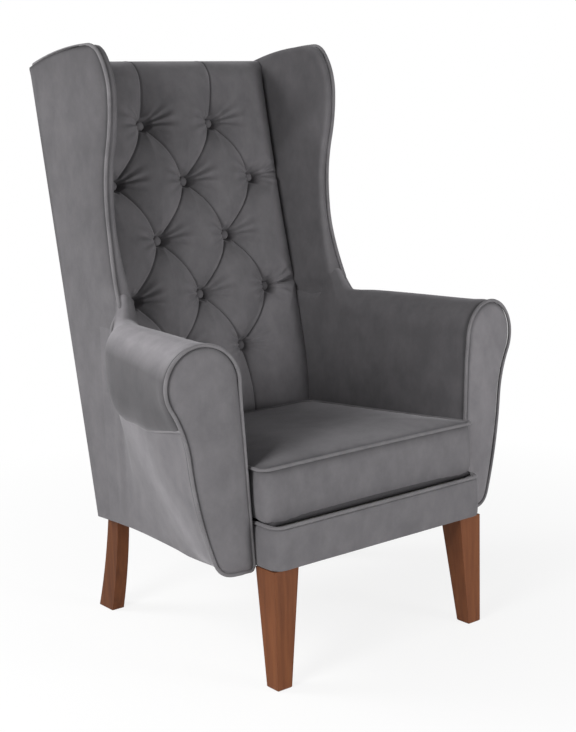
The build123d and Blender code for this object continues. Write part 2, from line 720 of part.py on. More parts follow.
BOARD_FOOT = CROSS_RAIL + CLEARANCE
MIDDLE_FOOT = (row_place(2) + row_place(3) - CROSS_RAIL) / 2
ROWS = [(-0.5, 0.5), (-1, 0, 1), (-0.5, 0.5), (-1, 0, 1), (-0.5, 0.5)]
BUTTONS = [(share * BUTTON_PITCH, row_place(row)) for row, shares in enumerate(ROWS) for share in shares]
TIE_HOLES = [BACK * Pos(x, w, 0) * rod(TIE_RADIUS + TIE_PLAY, PAD_REAR + PAD_CREST) for x, w in BUTTONS]
save("back_lower_rail", cross_rail(BOARD_FOOT))
save("back_middle_rail", cross_rail(MIDDLE_FOOT))
save("back_top_rail", cross_rail(POST_TOP - CROSS_RAIL))
back_board = BACK * block(-BOARD_HALF, BOARD_HALF, BOARD_FOOT, POST_TOP, BOARD_REAR, BOARD_REAR + BOARD)
save("back_board", back_board - TIE_HOLES)
cover_top = BACK_LENGTH - PAD_CAP / 2
save("outside_back_panel", BACK * block(-BOARD_OUT, BOARD_OUT, 0, cover_top, 0, BACK_COVER))

# Tufted inside back: crowned pad, cusped pleats between the buttons, cone dimples under them

CREST = PAD_REAR + PAD_CREST
PAD_BOTTOM = BOARD_FOOT
PAD_SHOULDER = BACK_LENGTH - PAD_CREST


def pad_profile():
    """Side profile of the pad: foot, crest and the round top that caps the top rail."""
    cap_rear = POST_REAR
    cap_low = POST_TOP + CLEARANCE
    half = radians(45)
    drop = PAD_CREST
    foot_end = (PAD_BOTTOM, PAD_REAR + PAD_FOOT)
    swell = (row_place(4), CREST)
    crown = (PAD_SHOULDER, CREST)
    brow = (PAD_SHOULDER + drop * sin(half), CREST - drop + drop * cos(half))
    peak = (BACK_LENGTH, CREST - drop)
    corner = (BACK_LENGTH - PAD_CAP / 2, cap_rear)
    return outline(
        Line((PAD_BOTTOM, PAD_REAR), foot_end),
        TangentArc(swell, foot_end, tangent=(-1, 0)),
        Line(swell, crown),
        ThreePointArc(crown, brow, peak),
        Line(peak, corner),
        Line(corner, (cap_low, cap_rear)),
        Line((cap_low, cap_rear), (cap_low, PAD_REAR)),
        Line((cap_low, PAD_REAR), (PAD_BOTTOM, PAD_REAR)),
    )


def pleats():
    """Pleat lines: diagonals between buttons, straight ones to top, foot and sides, and side seams."""
    lines = []
    for i, (x0, w0) in enumerate(BUTTONS):
        for x1, w1 in BUTTONS[i + 1:]:
            if abs(w1 - w0 + ROW_PITCH) < 1 and abs(abs(x1 - x0) - BUTTON_PITCH / 2) < 1:
                lines.append((x0, w0, x1, w1))
    for x in (-BUTTON_PITCH / 2, BUTTON_PITCH / 2):
        lines.append((x, row_place(0), x, BACK_LENGTH + PAD_CREST))
        lines.append((x, row_place(4), x, 0))
    for side in (-1, 1):
        lines.append((side * PAD_HALF, 0, side * PAD_HALF, BACK_LENGTH + PAD_CREST))
        edge = side * (PAD_HALF + PLEAT_REACH)
        for row in (1, 3):
            lines.append((side * BUTTON_PITCH, row_place(row), edge, row_place(row)))
    return lines


def pleat_tool(x0, w0, x1, w1):
    length = hypot(x1 - x0, w1 - w0)
    along = ((x1 - x0) / length, (w1 - w0) / length)
    place = Plane(origin=(x0, w0, CREST), x_dir=(-along[1], along[0], 0), z_dir=(along[0], along[1], 0))
    reach = PLEAT_REACH
    lip = PLEAT_LIP
    bulge = -PLEAT_BULGE
    section = outline(
        ThreePointArc((-reach, lip), (-reach / 2, bulge), (0, -PLEAT_DEPTH)),
        ThreePointArc((0, -PLEAT_DEPTH), (reach / 2, bulge), (reach, lip)),
        Line((reach, lip), (reach, PLEAT_DEPTH)),
        Line((reach, PLEAT_DEPTH), (-reach, PLEAT_DEPTH)),
        Line((-reach, PLEAT_DEPTH), (-reach, lip)),
    )
    return place * extrude(section, amount=length, dir=(0, 0, 1))


def dimple():
    upright = (Align.CENTER, Align.CENTER, Align.MIN)
    well = Cone(BUTTON_RADIUS + BUTTON_RING, DIMPLE_RADIUS, BUTTON_SINK, align=upright)
    return Pos(0, 0, CREST - BUTTON_SINK) * well


def inside_back():
    pad = extrude(Plane.YZ * pad_profile(), amount=PAD_HALF, both=True)
    pad -= [pleat_tool(*line) for line in pleats()]
    pad -= [Pos(x, w, 0) * dimple() for x, w in BUTTONS]
    pad = BACK * pad
    arms = arm_wall(CLEARANCE)
    return pad - [arms, mirror(arms, about=Plane.YZ)] - TIE_HOLES


def tuft_button():
    """Covered button: a low dome on a short straight edge."""
    edge = BUTTON_DOME / 2
    r = BUTTON_RADIUS
    face = outline(
        Line((0, 0), (r, 0)),
        Line((r, 0), (r, edge)),
        TangentArc((0, edge + BUTTON_DOME), (r, edge), tangent=(1, 0)),
        Line((0, edge + BUTTON_DOME), (0, 0)),
    )
    return revolve(Plane.XZ * face, axis=Axis.Z)


SEAT_OF_BUTTON = CREST - BUTTON_SINK + CLEARANCE
TIE_START = BOARD_REAR - CLEARANCE
save("inside_back_pad", inside_back())
save("tuft_buttons", Compound([BACK * Pos(x, w, SEAT_OF_BUTTON) * tuft_button() for x, w in BUTTONS]))
tie = rod(TIE_RADIUS, SEAT_OF_BUTTON - TIE_START)
save("button_ties", Compound([BACK * Pos(x, w, TIE_START) * tie for x, w in BUTTONS]))
washer = rod(WASHER_RADIUS, WASHER)
save("tie_washers", Compound([BACK * Pos(x, w, TIE_START - WASHER) * washer for x, w in BUTTONS]))
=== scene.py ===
import json
from cmath import phase, rect
from math import cos, exp, hypot, pi, radians, sin, tan

import bpy
import numpy as np
from mathutils import Matrix, Vector


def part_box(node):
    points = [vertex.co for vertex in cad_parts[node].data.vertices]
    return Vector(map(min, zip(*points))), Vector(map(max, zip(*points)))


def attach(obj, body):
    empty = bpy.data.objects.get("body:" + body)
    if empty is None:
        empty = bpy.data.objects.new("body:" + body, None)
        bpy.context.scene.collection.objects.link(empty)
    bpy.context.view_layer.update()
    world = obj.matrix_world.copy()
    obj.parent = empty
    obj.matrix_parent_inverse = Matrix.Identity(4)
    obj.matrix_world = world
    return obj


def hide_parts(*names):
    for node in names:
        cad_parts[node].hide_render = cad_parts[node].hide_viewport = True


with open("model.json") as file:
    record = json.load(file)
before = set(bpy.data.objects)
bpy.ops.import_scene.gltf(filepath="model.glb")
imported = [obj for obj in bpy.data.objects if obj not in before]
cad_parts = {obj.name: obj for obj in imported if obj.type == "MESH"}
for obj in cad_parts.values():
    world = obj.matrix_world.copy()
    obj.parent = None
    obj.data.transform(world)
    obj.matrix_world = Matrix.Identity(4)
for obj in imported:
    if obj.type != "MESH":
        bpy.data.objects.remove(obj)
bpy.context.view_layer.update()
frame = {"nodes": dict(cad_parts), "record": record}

# Sizes in millimetres, in the same frame as the CAD: front towards -Y, right towards +X
MM = 0.001
SIDES = (1, -1)
LEG_HEIGHT = 216.0
REAR = 358.0
FRONT = -358.0
BACK_TOP = 1083.0
RECLINE = radians(11.0)
BACK_FOOT = REAR - (BACK_TOP - LEG_HEIGHT) * tan(RECLINE)
BACK_LENGTH = (BACK_TOP - LEG_HEIGHT) / cos(RECLINE)
SEAT_RAKE = radians(2.4)
SEAT_ORIGIN = (0.0, -340.0, 301.0)
ARM_TOP = 614.0
ARM_INSIDE = 272.0
ARM_FRONT = -303.0
ARM_SPLAY = tan(radians(4.5))
ARM_BOTTOM = 210.0
FACING_TURN = radians(8.0)
ROLL_RADIUS = 69.0
ROLL_CENTRE = ARM_TOP - ROLL_RADIUS
SIDE = 280.0

# Radii of the piping
WELT = 3.5
CUSHION_WELT = 3.0
BORDER_WELT = 3.2
FACING_WELT = 3.2
WING_WELT = 3.4

# Camera solved from the photograph, in metres, degrees and millimetres of lens and film
CAMERA_PLACE = (-1.6004, -2.1208, 0.9956)
CAMERA_AZIMUTH = -38.0
CAMERA_PITCH = 10.885
CAMERA_ROLL = -1.649
CAMERA_LENS = 67.49
CAMERA_SHIFT = (0.0060, 0.0055)
FILM_WIDTH = 36.0


# Places: points of the reclined back, the raked seat and the turned facing, in metres

def metres(x, y, z):
    return (x * MM, y * MM, z * MM)


def on_back(x, w, n):
    """Point at x across, w up the outside back from the seat box and n ahead of it."""
    y = BACK_FOOT + w * sin(RECLINE) - n * cos(RECLINE)
    z = LEG_HEIGHT + w * cos(RECLINE) + n * sin(RECLINE)
    return metres(x, y, z)


def on_seat(x, y, z):
    """Point at x across, y back from the deck's front edge and z above the deck."""
    c, s = cos(SEAT_RAKE), sin(SEAT_RAKE)
    ox, oy, oz = SEAT_ORIGIN
    return metres(ox + x, oy + y * c + z * s, oz - y * s + z * c)


def on_facing(u, z, depth):
    """Point at u outwards from the inside arm, height z and depth behind the right facing's plane."""
    c, s = cos(FACING_TURN), sin(FACING_TURN)
    return metres(ARM_INSIDE + u * c - depth * s, ARM_FRONT + u * s + depth * c, z)


def back_y(z, setback=0.0):
    """Depth of the outside back at height z, or of a plane setback ahead of it."""
    return BACK_FOOT + (z - LEG_HEIGHT) * tan(RECLINE) - setback / cos(RECLINE)


def arm_x(y):
    """Inside face of the arm at depth y."""
    return ARM_INSIDE - (y - ARM_FRONT) * ARM_SPLAY


def row_of(place):
    """Row of points from arrays or single values of x, y and z."""
    return np.transpose(np.broadcast_arrays(*place))


def flip(points, side):
    return [(side * x, y, z) for x, y, z in points]


def hand_of(side):
    return "right" if side > 0 else "left"


# Curves and blends

def between(value, start, end):
    """Smooth rise from 0 at start to 1 at end, also where end lies below start."""
    t = np.clip((value - start) / (end - start), 0.0, 1.0)
    return t * t * (3 - 2 * t)


def bell(gap, width):
    """1 at no gap, falling to nothing over a few widths."""
    return np.exp(-(gap / width) ** 2)


def through(points, t):
    """Smooth curve through (t, value) points, with slopes from their neighbours."""
    def slope(k):
        (t0, v0), (t1, v1) = points[max(k - 1, 0)], points[min(k + 1, len(points) - 1)]
        return (v1 - v0) / (t1 - t0)

    i = max(k for k in range(len(points) - 1) if points[k][0] <= t)
    (t0, v0), (t1, v1) = points[i], points[i + 1]
    span = t1 - t0
    s = (t - t0) / span
    h = s * s * (3 - 2 * s)
    level = v0 * (1 - h) + v1 * h
    return level + slope(i) * span * s * (1 - s) ** 2 - slope(i + 1) * span * s * s * (1 - s)


def steps(a, b, count):
    return [a + (b - a) * i / count for i in range(count + 1)]


def arc_on(p, heading, q, count):
    """Points of the arc that leaves p along heading and ends at q, and the heading at its end."""
    p, way = complex(*p), complex(*heading)
    chord = (complex(*q) - p) / way
    turn = 2 * phase(chord)
    centre = p + 1j * way * abs(chord) ** 2 / (2 * chord.imag)
    arc = [centre + (p - centre) * rect(1, a) for a in steps(0.0, turn, count)]
    way *= rect(1, turn)
    return [(v.real, v.imag) for v in arc], (way.real, way.imag)


def evenly(points, count, closed=False):
    """The same line with count points spaced evenly along it."""
    line = np.array(list(points) + ([points[0]] if closed else []))
    run = np.concatenate([[0], np.cumsum(np.linalg.norm(np.diff(line, axis=0), axis=1))])
    places = np.linspace(0, run[-1], count + closed)[:count]
    return list(zip(*(np.interp(places, run, column) for column in line.T)))


def ripple(x, y, scale, seed):
    """Slow uneven swell of stuffed cloth, between -1 and 1."""
    a = np.sin(x / scale + 1.3 * seed) * np.cos(y / scale * 0.83 + 0.7 * seed)
    b = np.sin((x + y) / scale * 0.57 + 2.1 * seed) * np.cos((x - y) / scale * 0.71 + seed)
    return 0.6 * a + 0.4 * b


# Mesh helpers

def add_object(name, data):
    piece = bpy.data.objects.new(name, data)
    bpy.context.collection.objects.link(piece)
    return piece


def skin(name, rows, closed=False, caps=False, painted_shading=None):
    """Smooth mesh over rows of points; the values given make the cover lighter or darker at each point, as
    painted light and shade.
    """
    width = len(rows[0])
    verts = [p for row in rows for p in row]
    faces = []
    for i in range(len(rows) - 1):
        for j in range(width if closed else width - 1):
            k = (j + 1) % width
            faces.append((i * width + j, i * width + k, (i + 1) * width + k, (i + 1) * width + j))
    if caps:
        faces.append(tuple(reversed(range(width))))
        faces.append(tuple((len(rows) - 1) * width + j for j in range(width)))
    mesh = bpy.data.meshes.new(name)
    mesh.from_pydata(verts, [], faces)
    mesh.update()
    mesh.shade_smooth()
    if painted_shading is not None:
        values = [float(v) for row in painted_shading for v in row]
        # Painted light and shade, kept as a point attribute that scales the velvet's colour
        mesh.attributes.new("painted_shading", "FLOAT", "POINT").data.foreach_set("value", values)
    return add_object(name, mesh)


def welt_tube(name, points, closed=False, radius=WELT):
    """Self-piping: a fabric-covered cord along points."""
    data = bpy.data.curves.new(name, "CURVE")
    data.dimensions = "3D"
    data.bevel_depth = radius * MM
    data.bevel_resolution = 4
    data.use_fill_caps = True
    spline = data.splines.new("POLY")
    spline.points.add(len(points) - 1)
    for point, place in zip(spline.points, points):
        point.co = (*place, 1.0)
    spline.use_cyclic_u = closed
    spline.use_smooth = True
    return add_object(name, data)


# Shader helpers

def set_inputs(node, inputs):
    """Sets a node's inputs to values, or links them to other nodes' outputs."""
    for key, value in inputs.items():
        if isinstance(value, bpy.types.NodeSocket):
            node.id_data.links.new(value, node.inputs[key])
        else:
            node.inputs[key].default_value = value


def add_node(tree, kind, inputs, operation=None):
    node = tree.nodes.new("ShaderNode" + kind)
    if operation is not None:
        node.operation = operation
    set_inputs(node, inputs)
    return node


def node_material(name):
    material = bpy.data.materials.new(name)
    material.use_nodes = True
    tree = material.node_tree
    place = tree.nodes.new("ShaderNodeTexCoord").outputs["Object"]
    return material, tree, tree.nodes["Principled BSDF"], place


def add_noise(tree, vector, scale, detail, roughness=0.5):
    inputs = {"Vector": vector, "Scale": scale, "Detail": detail, "Roughness": roughness}
    return add_node(tree, "TexNoise", inputs).outputs["Fac"]


def add_ramp(tree, fac, stops):
    ramp = add_node(tree, "ValToRGB", {"Fac": fac})
    while len(ramp.color_ramp.elements) < len(stops):
        ramp.color_ramp.elements.new(0.5)
    for element, (place, colour) in zip(ramp.color_ramp.elements, stops):
        element.position = place
        element.color = (*colour, 1.0)
    return ramp.outputs["Color"]


def add_bump(tree, shader, height, strength, distance, under=None):
    inputs = {"Height": height, "Strength": strength, "Distance": distance}
    if under is not None:
        inputs["Normal"] = under
    normal = add_node(tree, "Bump", inputs).outputs["Normal"]
    set_inputs(shader, {"Normal": normal})
    return normal


def add_math(tree, operation, first, second):
    return add_node(tree, "Math", {0: first, 1: second}, operation).outputs["Value"]


def add_range(tree, value, source, target):
    limits = dict(zip(("From Min", "From Max", "To Min", "To Max"), source + target))
    return add_node(tree, "MapRange", {"Value": value, **limits}).outputs["Result"]


def stretched(tree, coords, scale):
    return add_node(tree, "Mapping", {"Vector": coords, "Scale": scale}).outputs["Vector"]


# Materials

def velvet(name, dark, light):
    """Short-pile velvet: patches of brushing, painted light and shade at each point, fine grain and a soft
    sheen.
    """
    material, tree, shader, place = node_material(name)
    brushing = stretched(tree, place, (1.0, 1.0, 0.75))
    patches = add_noise(tree, brushing, scale=24.0, detail=6.0, roughness=0.66)
    # Painted light and shade from the mesh scale the colour up or down
    shading_attribute = tree.nodes.new("ShaderNodeAttribute")
    shading_attribute.attribute_name = "painted_shading"
    gain = add_math(tree, "ADD", shading_attribute.outputs["Fac"], 1.0)
    colours = add_ramp(tree, patches, [(0.33, dark), (0.67, light)])
    toned = add_node(tree, "VectorMath", {0: colours, "Scale": gain}, "SCALE").outputs["Vector"]
    set_inputs(shader, {"Base Color": toned, "Roughness": 0.92, "Specular IOR Level": 0.12})
    sheen = (0.80, 0.79, 0.82, 1.0)
    set_inputs(shader, {"Sheen Weight": 0.22, "Sheen Roughness": 0.45, "Sheen Tint": sheen})
    pile = add_noise(tree, place, scale=1500.0, detail=2.0, roughness=0.6)
    lay = add_noise(tree, stretched(tree, place, (1.0, 1.0, 0.4)), scale=120.0, detail=3.0, roughness=0.55)
    grain = add_bump(tree, shader, pile, strength=0.22, distance=0.0006)
    add_bump(tree, shader, lay, strength=0.10, distance=0.0012, under=grain)
    return material


def wood(name, dark, middle, light, roughness, along=(1.0, 1.0, 0.06)):
    """Stained or raw wood with long grain and pores."""
    material, tree, shader, place = node_material(name)
    grain_space = stretched(tree, place, along)
    grain = add_noise(tree, grain_space, scale=95.0, detail=6.0, roughness=0.62)
    colours = add_ramp(tree, grain, [(0.28, dark), (0.52, middle), (0.75, light)])
    set_inputs(shader, {"Base Color": colours, "Roughness": roughness, "Specular IOR Level": 0.14})
    pores = add_noise(tree, grain_space, scale=520.0, detail=3.0, roughness=0.6)
    add_bump(tree, shader, pores, strength=0.18, distance=0.0005)
    return material


def plain_cloth(name, dark, light, scale):
    """Woven or needled cloth, or pressed board."""
    material, tree, shader, place = node_material(name)
    fibres = add_noise(tree, place, scale, detail=4.0, roughness=0.7)
    colours = add_ramp(tree, fibres, [(0.3, dark), (0.7, light)])
    set_inputs(shader, {"Base Color": colours, "Roughness": 0.95, "Specular IOR Level": 0.1})
    add_bump(tree, shader, fibres, strength=0.35, distance=0.0008)
    return material


def steel(name, dark, light):
    material, tree, shader, place = node_material(name)
    wear = add_noise(tree, place, scale=240.0, detail=3.0)
    colours = add_ramp(tree, wear, [(0.3, dark), (0.7, light)])
    set_inputs(shader, {"Base Color": colours, "Metallic": 1.0, "Roughness": 0.38})
    return material


ACROSS = (0.08, 1.0, 1.0)
VELVETS = {
    "velvet": ((0.109, 0.105, 0.111), (0.140, 0.134, 0.141)),
    # Piping is the cover's velvet made lighter, as a painted highlight on the welts
    "velvet_piping": ((0.120, 0.116, 0.121), (0.166, 0.160, 0.167)),
}
WOODS = {
    "leg_wood": ((0.094, 0.030, 0.011), (0.134, 0.044, 0.016), (0.172, 0.061, 0.022), 0.5),
    # The leg wood darkened as painted shade, for the rear legs
    "shaded_leg_wood": ((0.066, 0.020, 0.007), (0.094, 0.030, 0.010), (0.121, 0.042, 0.014), 0.55),
    "frame_wood": ((0.42, 0.28, 0.15), (0.56, 0.40, 0.23), (0.66, 0.50, 0.31), 0.7, ACROSS),
    "plywood": ((0.46, 0.32, 0.18), (0.60, 0.45, 0.27), (0.70, 0.55, 0.35), 0.65),
}
CLOTHS = {
    "hardboard": ((0.13, 0.075, 0.04), (0.19, 0.115, 0.065), 400.0),
    "felt": ((0.30, 0.28, 0.25), (0.48, 0.46, 0.42), 300.0),
    "deck_cloth": ((0.045, 0.043, 0.046), (0.075, 0.072, 0.076), 900.0),
    "dust_cloth": ((0.010, 0.010, 0.011), (0.022, 0.022, 0.023), 700.0),
}
MATERIALS = {"steel": steel("steel", (0.30, 0.30, 0.31), (0.46, 0.46, 0.47))}
for make, looks in ((velvet, VELVETS), (wood, WOODS), (plain_cloth, CLOTHS)):
    MATERIALS.update({name: make(name, *look) for name, look in looks.items()})
FRONT_LEGS = ("front_leg_left", "front_leg_right")
REAR_LEGS = ("back_post_left", "back_post_right")
WORN_EDGE = 1.4
SHARP_CORNER = radians(50)


def paint(piece, material):
    piece.data.materials.clear()
    piece.data.materials.append(material)


def dress(piece, look, body, *nodes, fill=None):
    """Gives a piece its look and the body that carries it, and hides the nodes it stands for."""
    paint(piece, MATERIALS[look])
    if nodes:
        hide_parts(*nodes)
    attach(piece, body)
    return piece


for subpart in frame["record"]["subparts"]:
    paint(frame["nodes"][subpart["node"]], MATERIALS[subpart["material_slot"]])
# Rear legs get the leg wood with painted shade
for name in REAR_LEGS:
    paint(frame["nodes"][name], MATERIALS["shaded_leg_wood"])

# Soft edges on the bare wood
for name in FRONT_LEGS + REAR_LEGS:
    bevel = frame["nodes"][name].modifiers.new("worn_edges", "BEVEL")
    bevel.width = WORN_EDGE * MM
    bevel.segments = 3
    bevel.limit_method = "ANGLE"
    bevel.angle_limit = SHARP_CORNER


# Tufted inside back: w runs up the back and n ahead of the outside back

PAD_HALF = 237.0
PAD_FOOT = 56.0
PAD_CREST = 97.6
PAD_REAR = 47.6
PAD_HEM = 9.0
PAD_SWELL = 281.0
PAD_COLUMNS = 280
FOOT_FALL = 24.0
TOP_ROUND = 50.0
CAP_FALL = 6.0
TOP_ROW = BACK_LENGTH - 134.0
ROW_PITCH = 117.0
BUTTON_PITCH = 168.0
ROWS = ((-0.5, 0.5), (-1, 0, 1), (-0.5, 0.5), (-1, 0, 1), (-0.5, 0.5))
BUTTONS = [(share * BUTTON_PITCH, TOP_ROW - ROW_PITCH * row)
           for row, shares in enumerate(ROWS) for share in shares]

# How far the cover is drawn in, from a surface that puffs out between the pleats
PUFF = 8.0
WELL_DEPTH = 40.0 + PUFF
WELL_RIM = 9.0
WELL_SLOPE = 13.0
PLEAT_REACH = 64.0
PLEAT_ARCH = 12.0
PLEAT_CURVE = 0.85
TOP_PLEAT_END = 14.0
FOOT_PLEAT_ARCH = 16.0
FOOT_PLEAT_END = 18.0
SIDE_PLEAT_ARCH = 18.0
SIDE_PLEAT_RISE = 6.0
SEAM_DEPTH = 32.0
SEAM_REACH = 58.0
LOW_SEAM_DEPTH = 14.0
LOW_SEAM_REACH = 42.0
LOW_SEAM = (620.0, 200.0)
SIDE_PLEAT_ENDS = ((1, SEAM_DEPTH), (3, SEAM_DEPTH - 9.0))

# Fold along a pleat, with a lip beside it, and wrinkles round a button
FOLD_DEPTH = 3.2
FOLD_WIDTH = 1.9
FOLD_FADE = 26.0
FOLD_REACH = 12.0
LIP_HEIGHT = 1.3
LIP_PLACE = 4.6
LIP_WIDTH = 2.4
WRINKLE_DEPTH = 3.5
WRINKLE_WAVES = 15
WRINKLE_PLACE, WRINKLE_REACH = 36.0, 25.0
FAN_HEADING, FAN_SPREAD = 0.08, 0.55
PUCKER_DEPTH = 0.7
PUCKER_WAVES = 9
PUCKER_PLACE, PUCKER_REACH = 19.0, 8.0

# Covered button: radius and height of its rings, and how it stands in its well
BUTTON_RINGS = (
    (3.0, 0.6), (7.6, 0.8), (9.0, 2.0), (9.3, 3.6), (8.7, 5.2), (6.9, 6.6), (4.2, 7.5), (1.2, 7.9),
)
BUTTON_POINTS = 40
BUTTON_SEAT = 58.5
BUTTON_STRETCH = 1.25
GATHER_DEPTH = 0.25
GATHER_HEIGHT = 4.0


def pad_profile():
    """Side profile of the pad as (distance up it, w, n)."""
    profile = []
    for w in steps(PAD_FOOT, PAD_SWELL, 125):
        drop = ((PAD_SWELL - w) / (PAD_SWELL - PAD_FOOT)) ** 2
        profile.append((w, w, PAD_CREST - FOOT_FALL * drop))
    shoulder = BACK_LENGTH - TOP_ROUND
    for w in steps(PAD_SWELL, shoulder, 320)[1:]:
        profile.append((w, w, PAD_CREST))
    for angle in steps(0, pi / 2, 28)[1:]:
        w = shoulder + TOP_ROUND * sin(angle)
        n = PAD_REAR + TOP_ROUND * cos(angle)
        profile.append((shoulder + TOP_ROUND * angle, w, n))
    run = profile[-1][0]
    for n in steps(PAD_REAR, PAD_HEM, 10)[1:]:
        profile.append((run + PAD_REAR - n, BACK_LENGTH - CAP_FALL * (PAD_REAR - n) / PAD_REAR, n))
    return profile


def pleat_lines():
    """Pleats by their two ends, then their depth at start, middle and end."""
    lines = []
    for i, (x0, w0) in enumerate(BUTTONS):
        for x1, w1 in BUTTONS[i + 1:]:
            if abs(w0 - w1 - ROW_PITCH) < 1 and abs(abs(x1 - x0) - BUTTON_PITCH / 2) < 1:
                lines.append((x0, w0, x1, w1, WELL_DEPTH, PLEAT_ARCH, WELL_DEPTH))
    foot_row = TOP_ROW - 4 * ROW_PITCH
    for x in (-BUTTON_PITCH / 2, BUTTON_PITCH / 2):
        lines.append((x, TOP_ROW, x * 1.04, BACK_LENGTH + 60.0, WELL_DEPTH, PLEAT_ARCH, TOP_PLEAT_END))
        lines.append((x, foot_row, x * 1.05, PAD_FOOT, WELL_DEPTH, FOOT_PLEAT_ARCH, FOOT_PLEAT_END))
    for side in (-1, 1):
        for row, edge in SIDE_PLEAT_ENDS:
            x, w = side * BUTTON_PITCH, TOP_ROW - row * ROW_PITCH
            lines.append((x, w, side * PAD_HALF, w + SIDE_PLEAT_RISE, WELL_DEPTH, SIDE_PLEAT_ARCH, edge))
    return lines


def pillow(gap, reach):
    """Share of a pleat's depth at a gap beside it."""
    return np.clip(1 - np.hypot(gap, 0.8) / reach, 0, 1) ** 2.1


def pleats(x, w):
    """How far the pleats draw the cover in, and the depth of the folds along them."""
    depth = np.zeros_like(x)
    fold = np.zeros_like(x)
    for x0, w0, x1, w1, start, middle, end in pleat_lines():
        dx, dw = x1 - x0, w1 - w0
        length = hypot(dx, dw)
        t = np.clip(((x - x0) * dx + (w - w0) * dw) / length ** 2, 0, 1)
        gap = np.hypot(x - x0 - t * dx, w - w0 - t * dw)
        rise = np.sin(pi * t) ** PLEAT_CURVE
        drawn = np.where(t < 0.5, start + (middle - start) * rise, end + (middle - end) * rise)
        depth = np.maximum(depth, drawn * pillow(gap, PLEAT_REACH))
        across = ((x - x0) * dw - (w - w0) * dx) / length * (1 if dw < 0 else -1)
        lip = LIP_HEIGHT * bell(across - LIP_PLACE, LIP_WIDTH) * (gap < FOLD_REACH)
        crease = FOLD_DEPTH * bell(gap, FOLD_WIDTH) - lip
        open_part = between(np.minimum(t, 1 - t) * length, 0.0, FOLD_FADE)
        fold = np.where(np.abs(crease) > np.abs(fold), crease * open_part, fold)
    return depth, fold


def button_wells(x, w):
    """Depth of the wells, and of the wrinkles that fan out from the buttons."""
    wells = np.zeros_like(x)
    wrinkles = np.zeros_like(x)
    for number, (bx, bw) in enumerate(BUTTONS):
        r = np.hypot(x - bx, w - bw)
        angle = np.arctan2(w - bw, np.abs(x - bx))
        outside = np.clip(r - WELL_RIM, 0, None)
        wells = np.maximum(wells, WELL_DEPTH * np.exp(-(outside / WELL_SLOPE) ** 1.4))
        fan = bell(angle - FAN_HEADING, FAN_SPREAD) * bell(r - WRINKLE_PLACE, WRINKLE_REACH)
        wrinkles += WRINKLE_DEPTH * fan * np.cos(WRINKLE_WAVES * angle + 1.9 * number)
        ring = bell(r - PUCKER_PLACE, PUCKER_REACH)
        wrinkles += PUCKER_DEPTH * ring * np.cos(PUCKER_WAVES * angle + number)
    return wells, wrinkles


def tuft_depth(x, w):
    """How far the cover is drawn in at x, w, and the depth of the folds."""
    depth, fold = pleats(x, w)
    low = between(w, *LOW_SEAM)
    seam_depth = SEAM_DEPTH + (LOW_SEAM_DEPTH - SEAM_DEPTH) * low
    seam_reach = SEAM_REACH + (LOW_SEAM_REACH - SEAM_REACH) * low
    depth = np.maximum(depth, seam_depth * pillow(PAD_HALF - np.abs(x), seam_reach))
    wells, wrinkles = button_wells(x, w)
    return np.maximum(depth, wells) + wrinkles - PUFF, fold


def back_painted_shading(x, w, depth, fold):
    """Painted light and shade: lighter or darker by slope, painted shade in folds and seams, painted light
    at the foot and low on the right.
    """
    slope_up, slope_right = np.gradient(depth, w[:, 0], x[0])
    # Painted light and shade by the slope of the pillows
    painted_tone = 0.17 * np.tanh(1.3 * (slope_right - slope_up))
    foot = between(w, 480.0, 220.0)
    low_right = between(x, 60.0, 200.0) * between(w, 540.0, 320.0)
    seam_line = bell(PAD_HALF - np.abs(x), 3.5)
    return painted_tone - 0.07 - 0.11 * fold + 0.22 * foot + 0.36 * low_right - 0.6 * seam_line


def tufted_back():
    profile = pad_profile()
    across = np.array(steps(-PAD_HALF, PAD_HALF, PAD_COLUMNS))
    x, w = np.meshgrid(across, np.array([p[0] for p in profile]))
    depth, fold = tuft_depth(x, w)
    rows = []
    for i, (run, pw, pn) in enumerate(profile):
        before, after = profile[max(i - 1, 0)], profile[min(i + 1, len(profile) - 1)]
        dw, dn = after[1] - before[1], after[2] - before[2]
        size = hypot(dw, dn)
        nw, nn = -dn / size, dw / size
        tufted = 1.0 - between(run, BACK_LENGTH - 50.0, BACK_LENGTH + 10.0)
        folded = 1.0 - between(run, BACK_LENGTH - 15.0, BACK_LENGTH + 45.0)
        drawn = depth[i] * tufted + fold[i] * folded
        rows.append(row_of(on_back(across, pw - drawn * nw, pn - drawn * nn)))
    return skin("inside_back", rows, painted_shading=back_painted_shading(x, w, depth, fold))


def tuft_button(number, x, w):
    """Covered button: low dome with the cover gathered under its edge."""
    a = np.array(steps(0, 2 * pi, BUTTON_POINTS)[:-1])
    rows = []
    for r, h in BUTTON_RINGS:
        radius = r + (GATHER_DEPTH * np.cos(10 * a + number) if h < GATHER_HEIGHT else 0.0)
        n = BUTTON_SEAT + BUTTON_STRETCH * h
        rows.append(row_of(on_back(x + radius * np.cos(a), w + radius * np.sin(a), n)))
    return skin(f"button_{number:02d}", rows, closed=True, caps=True)


dress(tufted_back(), "velvet", "chair", "inside_back_pad", fill=0.75)
for number, (x, w) in enumerate(BUTTONS):
    button = dress(tuft_button(number, x, w), "velvet", "chair")
    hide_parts("tuft_buttons")


# Seat cushion with its welt

